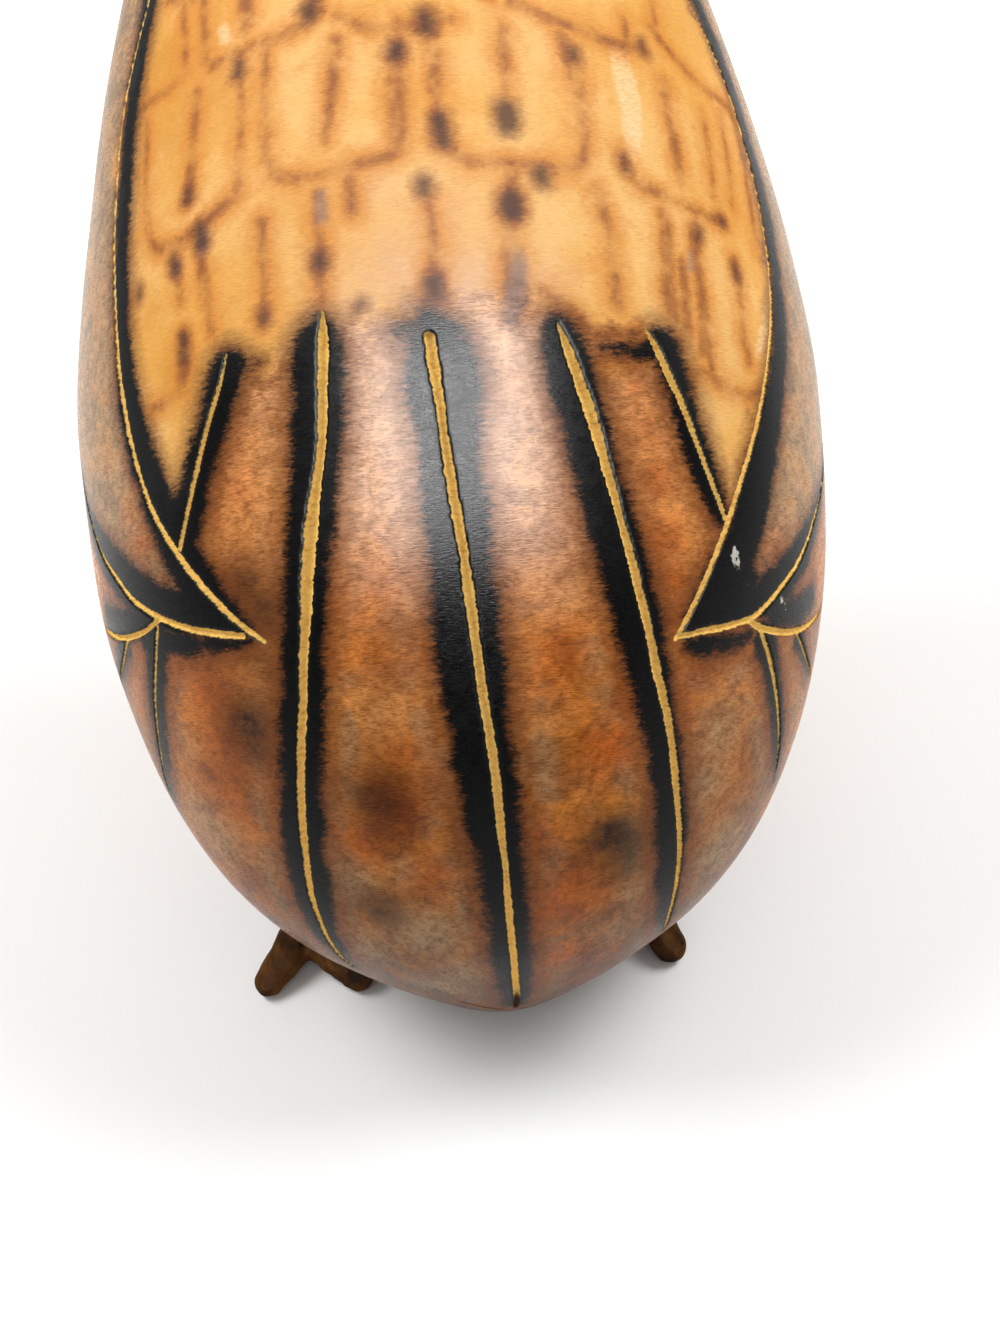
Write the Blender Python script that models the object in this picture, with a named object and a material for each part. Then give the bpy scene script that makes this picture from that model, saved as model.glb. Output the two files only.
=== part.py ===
import math

import bmesh
import bpy
import numpy as np

# Sizes in metres, angles in degrees.
# Stations run along the gourd's axis from the tail tip to the stalk's end.
bodyLift = 0.0070         # tail tip above the floor
tailY = 0.07715           # puts the origin under the middle of the bounding box
tailRoundness = 0.0116    # radius of the tail tip
stations = [0.0, 0.003, 0.008, 0.014, 0.022, 0.032, 0.045, 0.060, 0.078, 0.095, 0.110, 0.125, 0.140,
            0.155, 0.170, 0.184, 0.198, 0.210, 0.221, 0.230, 0.240, 0.247]
radii = [0.0, 0.01007, 0.01934, 0.0277, 0.03495, 0.04059, 0.04498, 0.04757, 0.0480, 0.04617, 0.0433, 0.0397, 0.0352,
         0.0296, 0.0242, 0.0208, 0.0198, 0.0186, 0.0146, 0.0088, 0.0046, 0.0]
bendStations = [0.0, 0.112, 0.150, 0.172, 0.216, 0.247]
bendAngles = [52.0, 52.0, 62.0, 56.0, -4.0, -14.0]
ringSpacing = 0.0048
segments = 48

grooveWidth = 0.0016
grooveDepth = 0.0010

eyeStation = 0.206
eyeAngle = 74.0
eyeRadius = 0.0030
eyeDepth = 0.0008

footX = 0.026
footY = -0.040            # from the tail tip
postRadius = 0.0040
postTop = 0.0175
socketGap = 0.0003
rightTurn = 20.0
toeTipRadius = 0.0021
toeTipRadiusRight = 0.0025
innerToeReach = 1.0
innerToeReachRight = 0.62  # this toe is worn short, clear of the rump

# Carved lines as (station mm, angle), the angle from the back towards the left wing.
grooves = {
    "tail_left_outer": [(83, 27.5), (77.5, 30.5), (71.5, 34), (67, 36.5), (63.8, 39)],
    "tail_left": [(84.5, 13.3), (74, 15), (65, 17.5), (54.5, 20.5), (46, 23.6), (38.5, 26.5), (30, 30.5), (22.5, 36), (16.5, 41.5), (12.5, 47)],
    "tail_middle": [(82, 1), (71, 0), (60, -1), (51, -1.6), (42, -2), (35, -2.4), (28, -2.6), (19, -3), (11, -4), (5, -5.5)],
    "tail_right": [(81.5, -16), (73, -18.5), (62, -21.5), (54, -23.5), (47.5, -25.7), (40, -28.6), (33, -32), (23, -38.5), (17, -45.5), (12.5, -55)],
    "tail_right_outer": [(80.3, -28), (75, -31), (68.5, -34.2), (61.5, -38)],
    "wing_left_back": [(140, 49), (127, 51), (117, 53), (107, 53), (100, 52.2), (93, 50.8), (86, 49.2), (78, 47), (70.5, 43.5), (64, 39), (58.3, 34), (53, 28)],
    "wing_right_back": [(140, -52), (127, -57), (113, -59), (102, -58.2), (93.3, -56.6), (86, -54.2), (79, -50.6), (72, -46), (66, -41.8), (61, -38.4), (55.3, -34), (49, -30)],
    "wing_left_edge": [(140, 50), (138, 66), (127, 80), (112, 88), (97, 87), (84, 79), (74.5, 70), (67.8, 63.8), (63.5, 59), (59.2, 53.5), (55.8, 47), (54.2, 37), (53, 27.5)],
    "wing_right_edge": [(140, -53), (138, -68), (127, -83), (112, -92), (97, -91), (83, -86), (69.8, -76), (63.6, -67.5), (60.3, -62), (56.3, -56.5), (52.4, -51), (49.9, -44), (49.2, -37), (49, -30)],
    "fold_left": [(56, 76), (53.8, 66), (54.2, 57), (55.6, 47)],
    "fold_right": [(49.8, -45), (47.8, -50), (47.4, -55), (47.8, -62), (49.2, -73)],
    "under_left": [(55.5, 47), (47.5, 53.5), (41, 60), (34.3, 68)],
    "under_left_short": [(54, 59), (51.6, 66), (48.5, 75)],
    "under_right": [(48.8, -46.5), (43.8, -51.3), (40, -54.8), (34.3, -60.2), (28.3, -66.5)],
    "under_right_short": [(47.2, -59), (44.5, -65.5), (42, -71.5)],
    "tip_left": [(4.4, 24), (2.4, 14), (1.6, -2)],
    "tip_right": [(1.6, -8), (2.2, -34), (4.2, -52)],
}


def clearScene():
    for obj in list(bpy.data.objects):
        bpy.data.objects.remove(obj, do_unlink=True)


def slopes(x, y, first=None):
    # Three-point slopes, limited so that the curve never overshoots.
    step = np.diff(x)
    rise = np.diff(y) / step
    m = np.empty(len(x))
    m[1:-1] = (rise[:-1] * step[1:] + rise[1:] * step[:-1]) / (step[1:] + step[:-1])
    m[0] = rise[0] if first is None else first
    m[-1] = rise[-1]
    for i in range(1, len(x) - 1):
        if rise[i - 1] * rise[i] <= 0:
            m[i] = 0.0
        else:
            m[i] = math.copysign(min(abs(m[i]), 3 * abs(rise[i - 1]), 3 * abs(rise[i])), m[i])
    return m


def hermite(x, y, m, at):
    at = np.clip(at, x[0], x[-1])
    i = np.clip(np.searchsorted(x, at, side="right") - 1, 0, len(x) - 2)
    h = x[i + 1] - x[i]
    t = (at - x[i]) / h
    return ((2 * t**3 - 3 * t**2 + 1) * y[i] + (t**3 - 2 * t**2 + t) * h * m[i]
            + (3 * t**2 - 2 * t**3) * y[i + 1] + (t**3 - t**2) * h * m[i + 1])


stationKnots = np.array(stations)
radiusSquares = np.array(radii) ** 2
radiusSlopes = slopes(stationKnots, radiusSquares, 2 * tailRoundness)
bendKnots = np.array(bendStations)
bendValues = np.radians(bendAngles)
bendSlopes = slopes(bendKnots, bendValues, 0.0)

# The axis as a fine polyline, walked from the tail tip.
axisStep = 0.0005
axisStations = np.arange(0.0, stations[-1] + axisStep, axisStep)
axisTilt = hermite(bendKnots, bendValues, bendSlopes, axisStations)
axisY = tailY - np.concatenate([[0], np.cumsum(np.cos(0.5 * (axisTilt[1:] + axisTilt[:-1])) * axisStep)])
axisZ = bodyLift + np.concatenate([[0], np.cumsum(np.sin(0.5 * (axisTilt[1:] + axisTilt[:-1])) * axisStep)])


def gourdRadius(station):
    return np.sqrt(np.maximum(hermite(stationKnots, radiusSquares, radiusSlopes, station), 0.0))


def gourdPoint(station, angle):
    # Station in metres, angle in radians from the back; works on arrays.
    tilt = np.interp(station, axisStations, axisTilt)
    r = gourdRadius(station)
    out = r * np.cos(angle)
    return np.stack([r * np.sin(angle),
                     np.interp(station, axisStations, axisY) + out * np.sin(tilt),
                     np.interp(station, axisStations, axisZ) + out * np.cos(tilt)], axis=-1)


def gourdNormal(station, angle):
    ds, da = 0.0004, 0.01
    low = np.maximum(station - ds, 0.0001)
    along = gourdPoint(station + ds, angle) - gourdPoint(low, angle)
    around = gourdPoint(station, angle + da) - gourdPoint(station, angle - da)
    n = np.cross(around, along)
    return n / np.linalg.norm(n, axis=-1, keepdims=True)


def ringStations():
    # Even steps measured along the skin, closer at the two ends.
    s = stations[-1] * (0.5 - 0.5 * np.cos(np.linspace(0, math.pi, 6000)))
    r = gourdRadius(s)
    length = np.concatenate([[0], np.cumsum(np.hypot(np.diff(s), np.diff(r)))])
    count = round(length[-1] / ringSpacing)
    return np.interp(np.arange(1, count) * length[-1] / count, length, s)


def meshObject(name, verts, faces, collection, smooth=True):
    mesh = bpy.data.meshes.new(name)
    mesh.from_pydata([tuple(v) for v in verts], [], faces)
    bm = bmesh.new()
    bm.from_mesh(mesh)
    bmesh.ops.recalc_face_normals(bm, faces=bm.faces)
    bm.to_mesh(mesh)
    bm.free()
    for face in mesh.polygons:
        face.use_smooth = smooth
    obj = bpy.data.objects.new(name, mesh)
    collection.objects.link(obj)
    return obj


def loft(name, rings, collection, start=None, end=None, smooth=True):
    # Rings of equal count, closed by a point or a flat cap at each end.
    count = len(rings[0])
    verts = [v for ring in rings for v in ring]
    faces = []
    for i in range(len(rings) - 1):
        for k in range(count):
            n = (k + 1) % count
            faces.append((i * count + k, i * count + n, (i + 1) * count + n, (i + 1) * count + k))
    last = (len(rings) - 1) * count
    if start is None:
        faces.append(tuple(range(count)))
    else:
        verts.append(start)
        faces += [(k, (k + 1) % count, len(verts) - 1) for k in range(count)]
    if end is None:
        faces.append(tuple(last + k for k in range(count)))
    else:
        verts.append(end)
        faces += [(last + k, last + (k + 1) % count, len(verts) - 1) for k in range(count)]
    return meshObject(name, verts, faces, collection, smooth)


def makeMaterial(name, colour, roughness):
    material = bpy.data.materials.new(name)
    material.use_nodes = True
    shader = material.node_tree.nodes["Principled BSDF"]
    shader.inputs["Base Color"].default_value = (*colour, 1.0)
    shader.inputs["Roughness"].default_value = roughness
    return material


def cutWith(target, cutter, operation="DIFFERENCE"):
    modifier = target.modifiers.new(cutter.name, "BOOLEAN")
    modifier.operation = operation
    modifier.object = cutter
    modifier.solver = "EXACT"


def curveThrough(points, step):
    # A smooth line through the control points, with samples about one step apart.
    p = np.array(points, float)
    knots = np.concatenate([[0], np.cumsum(np.hypot(np.diff(p[:, 0]), 0.6 * np.diff(p[:, 1])))])
    count = max(4, round(knots[-1] / step))
    at = np.linspace(0, knots[-1], count + 1)
    return np.stack([hermite(knots, p[:, k], slopes(knots, p[:, k]), at) for k in (0, 1)], axis=-1)


def grooveCutter(name, points, collection):
    path = curveThrough(points, 4.0)
    station, angle = path[:, 0] / 1000, np.radians(path[:, 1])
    centre = gourdPoint(station, angle)
    normal = gourdNormal(station, angle)
    ahead = np.gradient(centre, axis=0)
    side = np.cross(normal, ahead)
    side /= np.linalg.norm(side, axis=-1, keepdims=True)
    rise = 0.0008
    rings = []
    for i in range(len(path)):
        fade = min(1.0, 0.45 + 0.55 * min(i, len(path) - 1 - i) / 2)
        depth = grooveDepth * fade
        half = 0.5 * grooveWidth * fade * (rise + depth) / depth
        rings.append([centre[i] + normal[i] * rise - side[i] * half,
                      centre[i] + normal[i] * rise + side[i] * half,
                      centre[i] - normal[i] * depth])
    return loft("cut_" + name, rings, collection, smooth=False)


def buildGourd(collection, cutters):
    angles = np.radians(np.arange(segments) * 360.0 / segments)
    rings = [gourdPoint(np.full(segments, s), angles) for s in ringStations()]
    gourd = loft("gourd", rings, collection,
                 start=gourdPoint(np.array(0.0), np.array(0.0)),
                 end=gourdPoint(np.array(stations[-1]), np.array(0.0)))
    for name, points in grooves.items():
        cutWith(gourd, grooveCutter(name, points, cutters))
    for side in (1, -1):
        s, a = np.array(eyeStation), np.array(side * math.radians(eyeAngle))
        centre, normal = gourdPoint(s, a), gourdNormal(s, a)
        ball = (eyeRadius**2 + eyeDepth**2) / (2 * eyeDepth)
        rise = 0.0015
        reach = math.sqrt(ball**2 - (ball - eyeDepth - rise)**2)
        ahead = gourdPoint(s + 0.001, a) - centre
        ahead = ahead - normal * np.dot(ahead, normal)
        ahead /= np.linalg.norm(ahead)
        across = np.cross(normal, ahead)
        turns = np.radians(np.arange(16) * 22.5)
        disc = []
        for size, height in ((reach, rise), (eyeRadius, 0.0), (0.6 * eyeRadius, -0.65 * eyeDepth)):
            disc.append([centre + normal * height + size * (math.cos(t) * ahead + math.sin(t) * across) for t in turns])
        cutWith(gourd, loft(f"cut_eye_{'left' if side > 0 else 'right'}", disc, cutters,
                            end=centre - normal * eyeDepth, smooth=False))
    for side in (1, -1):
        cutWith(gourd, post(f"cut_socket_{'left' if side > 0 else 'right'}", side,
                            postRadius + socketGap, -0.002, postTop + socketGap, cutters))
    return gourd


def post(name, side, radius, low, high, collection):
    x, y = side * footX, tailY + footY
    turns = np.radians(np.arange(16) * 22.5)
    rings = [[(x + radius * math.cos(t), y + radius * math.sin(t), z) for t in turns] for z in (low, high)]
    return loft(name, rings, collection)


def prong(name, points, collection):
    # A round tapered twig through (x, y, z, radius) points, with blunt round ends.
    p = np.array(points, float)
    knots = np.concatenate([[0], np.cumsum(np.linalg.norm(np.diff(p[:, :3], axis=0), axis=1))])
    at = np.linspace(0, knots[-1], max(4, round(knots[-1] / 0.004)) + 1)
    line = np.stack([hermite(knots, p[:, k], slopes(knots, p[:, k]), at) for k in range(4)], axis=-1)
    ahead = np.gradient(line[:, :3], axis=0)
    ahead /= np.linalg.norm(ahead, axis=-1, keepdims=True)
    sides = 12
    turns = np.radians(np.arange(sides) * 360 / sides)

    def ring(centre, forward, radius):
        across = np.cross(forward, (0, 0, 1))
        across /= np.linalg.norm(across)
        up = np.cross(across, forward)
        return [centre + radius * (math.cos(t) * across + math.sin(t) * up) for t in turns]

    rings = []
    first, last = line[0], line[-1]
    for bulge in (65, 35):
        b = math.radians(bulge)
        rings.append(ring(first[:3] - ahead[0] * first[3] * math.sin(b), ahead[0], first[3] * math.cos(b)))
    rings += [ring(q[:3], a, q[3]) for q, a in zip(line, ahead)]
    for bulge in (35, 65):
        b = math.radians(bulge)
        rings.append(ring(last[:3] + ahead[-1] * last[3] * math.sin(b), ahead[-1], last[3] * math.cos(b)))
    return loft(name, rings, collection, start=first[:3] - ahead[0] * first[3], end=last[:3] + ahead[-1] * last[3])


def buildFoot(name, side, turn, tip, reach, collection):
    # Offsets from the post for a left foot; the right one is mirrored and turned inward.
    drop = 0.0003
    twigs = {
        "heel": [(0, 0.0, 0.0050, 0.0039), (0.0026, 0.012, 0.0039, 0.0030), (0.0033, 0.0212, 0.0034, 0.0028)],
        "rear_outer": [(0.0026, 0.0185, 0.0038, 0.0030), (0.0060, 0.0245, 0.0030, 0.0026), (0.0089, 0.0270, tip - drop, tip)],
        "rear_inner": [(0.0036, 0.0185, 0.0038, 0.0028), (0.0036 - 0.0048 * reach, 0.0185 + 0.0063 * reach, 0.0028, 0.0023),
                       (0.0036 - 0.0085 * reach, 0.0185 + 0.0095 * reach, tip - drop, tip)],
        "shin": [(0, 0.0, 0.0052, 0.0040), (-0.0006, -0.010, 0.0048, 0.0036), (-0.0010, -0.0180, 0.0042, 0.0034)],
        "front_outer": [(-0.0016, -0.0150, 0.0044, 0.0034), (0.0044, -0.0250, 0.0034, 0.0027), (0.0078, -0.0335, tip - drop, tip)],
        "front_inner": [(-0.0006, -0.0150, 0.0044, 0.0034), (-0.0062, -0.0250, 0.0034, 0.0027), (-0.0098, -0.0345, tip - drop, tip)],
    }
    c, s = math.cos(math.radians(turn)), math.sin(math.radians(turn))
    foot = post(name, side, postRadius, 0.0045, postTop, collection)
    for twig, points in twigs.items():
        placed = []
        for x, y, z, r in points:
            # A turned foot swings its rear toes towards the middle.
            tx, ty = x * c - y * s, x * s + y * c
            placed.append((side * (footX + tx), tailY + footY + ty, z, r))
        cutWith(foot, prong(f"{name}_{twig}", placed, bpy.data.collections["cutters"]), "UNION")
    return foot


def floorCutter(collection):
    x, low, back, front = 0.07, -0.01, 0.12, -0.06
    rings = [[(-x, front, z), (x, front, z), (x, back, z), (-x, back, z)] for z in (low, 0.0)]
    return loft("cut_floor", rings, collection, smooth=False)


def main():
    clearScene()
    bird = bpy.data.collections.new("carved_gourd")
    cutters = bpy.data.collections.new("cutters")
    bpy.context.scene.collection.children.link(bird)
    bpy.context.scene.collection.children.link(cutters)
    gourd = buildGourd(bird, cutters)
    left = buildFoot("foot_left", 1, 0.0, toeTipRadius, innerToeReach, bird)
    right = buildFoot("foot_right", -1, rightTurn, toeTipRadiusRight, innerToeReachRight, bird)
    floor = floorCutter(cutters)
    for foot in (left, right):
        cutWith(foot, floor)
    gourd.data.materials.append(makeMaterial("gourd_skin", (0.42, 0.19, 0.08), 0.38))
    left.data.materials.append(makeMaterial("foot_left_wood", (0.07, 0.035, 0.016), 0.5))
    right.data.materials.append(makeMaterial("foot_right_wood", (0.075, 0.038, 0.018), 0.5))
    for obj in cutters.objects:
        obj.hide_render = True
        obj.display_type = "WIRE"
    cutters.hide_render = True
    print("carved gourd built")


main()
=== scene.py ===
import math

import bmesh
import bpy
import numpy as np
from mathutils import Matrix, Vector, noise


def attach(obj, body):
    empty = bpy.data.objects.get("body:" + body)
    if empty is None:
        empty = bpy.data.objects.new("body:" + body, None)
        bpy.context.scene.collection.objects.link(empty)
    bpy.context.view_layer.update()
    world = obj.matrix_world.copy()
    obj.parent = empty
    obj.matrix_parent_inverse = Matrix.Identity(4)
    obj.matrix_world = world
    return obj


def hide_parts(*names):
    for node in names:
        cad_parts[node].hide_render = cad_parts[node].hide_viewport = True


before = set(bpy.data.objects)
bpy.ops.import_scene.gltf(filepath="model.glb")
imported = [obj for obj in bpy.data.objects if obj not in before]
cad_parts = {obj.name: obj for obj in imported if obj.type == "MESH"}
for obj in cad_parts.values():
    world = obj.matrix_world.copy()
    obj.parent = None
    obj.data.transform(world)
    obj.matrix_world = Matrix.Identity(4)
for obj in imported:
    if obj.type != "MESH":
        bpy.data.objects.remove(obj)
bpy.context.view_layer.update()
print("frame loaded")


# camera, floor and light
view = {
    "place": (-0.0034, 0.2008, 0.1711),
    "elevation": 40.0,
    "roll": -5.56,
    "lens": 40.0,
    "clipStart": 0.01,
}
studio = {
    "floorSize": 3.0,
    "floorColour": (0.83 * 0.988, 0.83, 0.83 * 0.992),
    "floorGloss": 0.25,
    "surround": 0.58,
    "sidePlace": (0.60, -0.05, 0.85),
    "sideTarget": (0, 0, 0.05),
    "sideSize": 0.5,
    "sidePower": 7.6,
    "sheenPlace": (-0.03, 0.67, 0.74),
    "sheenTarget": (0, 0.03, 0.09),
    "sheenSize": (0.74, 0.17),
    "sheenPower": 51.0,
    "cardPlace": (0.0, 0.45, 0.12),
    "cardSize": (0.80, 0.24),
    "cardColour": (0.03, 0.03, 0.03),
    "cardGloss": 0.5,
    "roughness": 0.9,
}


def aimedLight(name, place, target, power, size, sizeY=None):
    light = bpy.data.lights.new(name, "AREA")
    light.energy = power
    light.size = size
    if sizeY:
        light.shape = "RECTANGLE"
        light.size_y = sizeY
    lamp = bpy.data.objects.new(name, light)
    bpy.context.scene.collection.objects.link(lamp)
    lamp.location = place
    lamp.rotation_euler = (Vector(target) - Vector(place)).to_track_quat("-Z", "Y").to_euler()
    return lamp


def studioSheet(name, material, size, place, turn, colour, gloss):
    # a flat sheet of matt paper
    bpy.ops.object.select_all(action="DESELECT")
    bpy.ops.mesh.primitive_plane_add(size=1, location=place, rotation=(turn, 0, 0))
    sheet = bpy.context.object
    sheet.name = name
    sheet.scale = (*size, 1)
    bpy.ops.object.transform_apply(location=True, rotation=True, scale=True)
    paper = bpy.data.materials.new(material)
    paper.use_nodes = True
    shader = paper.node_tree.nodes["Principled BSDF"]
    shader.inputs["Base Color"].default_value = (*colour, 1)
    shader.inputs["Roughness"].default_value = studio["roughness"]
    shader.inputs["Specular IOR Level"].default_value = gloss
    sheet.data.materials.append(paper)
    return sheet


def makeCamera():
    e, roll = math.radians(view["elevation"]), math.radians(view["roll"])
    ahead = Vector((0, -math.cos(e), -math.sin(e)))
    right = ahead.cross(Vector((0, 0, 1))).normalized()
    up = right.cross(ahead)
    tiltedRight = right * math.cos(roll) + up * math.sin(roll)
    tiltedUp = up * math.cos(roll) - right * math.sin(roll)
    lens = bpy.data.cameras.new("photo_view")
    lens.lens = view["lens"]
    lens.clip_start = view["clipStart"]
    camera = bpy.data.objects.new("photo_view", lens)
    bpy.context.scene.collection.objects.link(camera)
    turn = Matrix((tiltedRight, tiltedUp, -ahead)).transposed()
    camera.matrix_world = Matrix.Translation(view["place"]) @ turn.to_4x4()
    bpy.context.scene.camera = camera


def makeStudio():
    floorSize = (studio["floorSize"], studio["floorSize"])
    studioSheet("floor", "white_paper", floorSize, (0, 0, 0), 0, studio["floorColour"], studio["floorGloss"])
    world = bpy.data.worlds.new("studio")
    bpy.context.scene.world = world
    world.use_nodes = True
    sky = world.node_tree.nodes["Background"]
    sky.inputs["Color"].default_value = (1, 1, 1, 1)
    sky.inputs["Strength"].default_value = studio["surround"]
    x, y, z = studio["sidePlace"]
    for name, side in (("side_left", 1), ("side_right", -1)):
        aimedLight(name, (side * x, y, z), studio["sideTarget"], studio["sidePower"], studio["sideSize"])
    # only its reflection is wanted: the soft sheen across the tail
    sheen = aimedLight("sheen", studio["sheenPlace"], studio["sheenTarget"], studio["sheenPower"], *studio["sheenSize"])
    sheen.visible_diffuse = False
    # a dark card below the sheen light keeps the rump deep and the shadow under it tight
    card = studioSheet("dark_card", "dark_card", studio["cardSize"], studio["cardPlace"], math.pi / 2,
                       studio["cardColour"], studio["cardGloss"])
    card.visible_camera = False
    bpy.context.scene.view_settings.view_transform = "Standard"
    bpy.context.scene.view_settings.look = "None"


makeCamera()
makeStudio()
print("studio ready")


# the gourd's form, the same named values as its solid
body = {
    "lift": 0.0070,
    "tailY": 0.07715,
    "tailRoundness": 0.0116,
    "stations": [0.0, 0.003, 0.008, 0.014, 0.022, 0.032, 0.045, 0.060, 0.078, 0.095, 0.110, 0.125, 0.140,
                 0.155, 0.170, 0.184, 0.198, 0.210, 0.221, 0.230, 0.240, 0.247],
    "radii": [0.0, 0.01007, 0.01934, 0.0277, 0.03495, 0.04059, 0.04498, 0.04757, 0.0480, 0.04617, 0.0433, 0.0397,
              0.0352, 0.0296, 0.0242, 0.0208, 0.0198, 0.0186, 0.0146, 0.0088, 0.0046, 0.0],
    "bendStations": [0.0, 0.112, 0.150, 0.172, 0.216, 0.247],
    "bendAngles": [52.0, 52.0, 62.0, 56.0, -4.0, -14.0],
    "axisStep": 0.0005,
    "segments": 160,
    "rings": 150,
    "lump": 0.00022,
    "lumpSize": 0.022,
    "eyeStation": 0.206,
    "eyeAngle": 74.0,
    "eyeRadius": 0.0034,
    "eyeDepth": 0.0005,
    "stalkStart": 0.222,
    "stalkBlend": 0.008,
    "stalkThick": 0.006,
    "stalkRidge": 0.00035,
    "stalkRidges": 6,
    "stalkTurn": 0.6,
    # how near a stroke the mesh is halved, coarse to fine, in mm
    "refine": [1.5, 0.68, 0.35],
}


def slopes(x, y, first=None):
    step = np.diff(x)
    rise = np.diff(y) / step
    m = np.empty(len(x))
    m[1:-1] = (rise[:-1] * step[1:] + rise[1:] * step[:-1]) / (step[1:] + step[:-1])
    m[0] = rise[0] if first is None else first
    m[-1] = rise[-1]
    for i in range(1, len(x) - 1):
        if rise[i - 1] * rise[i] <= 0:
            m[i] = 0.0
        else:
            m[i] = math.copysign(min(abs(m[i]), 3 * abs(rise[i - 1]), 3 * abs(rise[i])), m[i])
    return m


def hermite(x, y, m, at):
    at = np.clip(at, x[0], x[-1])
    i = np.clip(np.searchsorted(x, at, side="right") - 1, 0, len(x) - 2)
    h = x[i + 1] - x[i]
    t = (at - x[i]) / h
    return ((2 * t**3 - 3 * t**2 + 1) * y[i] + (t**3 - 2 * t**2 + t) * h * m[i]
            + (3 * t**2 - 2 * t**3) * y[i + 1] + (t**3 - t**2) * h * m[i + 1])


def unit(vectors):
    return vectors / np.maximum(np.linalg.norm(vectors, axis=-1, keepdims=True), 1e-12)


def runLength(steps):
    return np.concatenate([[0], np.cumsum(steps)])


stationKnots = np.array(body["stations"])
radiusSquares = np.array(body["radii"]) ** 2
radiusSlopes = slopes(stationKnots, radiusSquares, 2 * body["tailRoundness"])
bendKnots = np.array(body["bendStations"])
bendValues = np.radians(body["bendAngles"])
bendSlopes = slopes(bendKnots, bendValues, 0.0)
axisStations = np.arange(0.0, stationKnots[-1] + body["axisStep"], body["axisStep"])
axisTilt = hermite(bendKnots, bendValues, bendSlopes, axisStations)
middleTilt = 0.5 * (axisTilt[1:] + axisTilt[:-1])
axisY = body["tailY"] - runLength(np.cos(middleTilt) * body["axisStep"])
axisZ = body["lift"] + runLength(np.sin(middleTilt) * body["axisStep"])


def gourdRadius(station):
    return np.sqrt(np.maximum(hermite(stationKnots, radiusSquares, radiusSlopes, station), 0.0))


def gourdAxis(station):
    # the middle of the gourd at a station, the way towards the stalk, and the tilt
    tilt = np.interp(station, axisStations, axisTilt)
    still = np.zeros_like(tilt)
    y, z = np.interp(station, axisStations, axisY), np.interp(station, axisStations, axisZ)
    return np.stack([still, y, z], axis=-1), np.stack([still, -np.cos(tilt), np.sin(tilt)], axis=-1), tilt


def gourdPoint(station, angle):
    # station in metres, angle in radians from the back towards the left wing
    middle, forward, tilt = gourdAxis(station)
    r = gourdRadius(station)
    out = r * np.cos(angle)
    return middle + np.stack([r * np.sin(angle), out * np.sin(tilt), out * np.cos(tilt)], axis=-1)


def skinPlace(mm, degrees):
    return gourdPoint(mm / 1000, math.radians(degrees)) * 1000


def gourdNormal(station, angle):
    # from two short steps, along the gourd and round it, kept off both ends
    ds, da = 0.0004, 0.01
    low = np.clip(station - ds, 0.0001, stationKnots[-1] - 2.2 * ds)
    along = gourdPoint(low + 2 * ds, angle) - gourdPoint(low, angle)
    level = np.clip(station, 0.0003, stationKnots[-1] - 0.0003)
    around = gourdPoint(level, angle + da) - gourdPoint(level, angle - da)
    return unit(np.cross(around, along))


profileStations = stationKnots[-1] * (0.5 - 0.5 * np.cos(np.linspace(0, math.pi, 6000)))
profileRadii = gourdRadius(profileStations)
profileLength = runLength(np.hypot(np.diff(profileStations), np.diff(profileRadii)))

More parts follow.
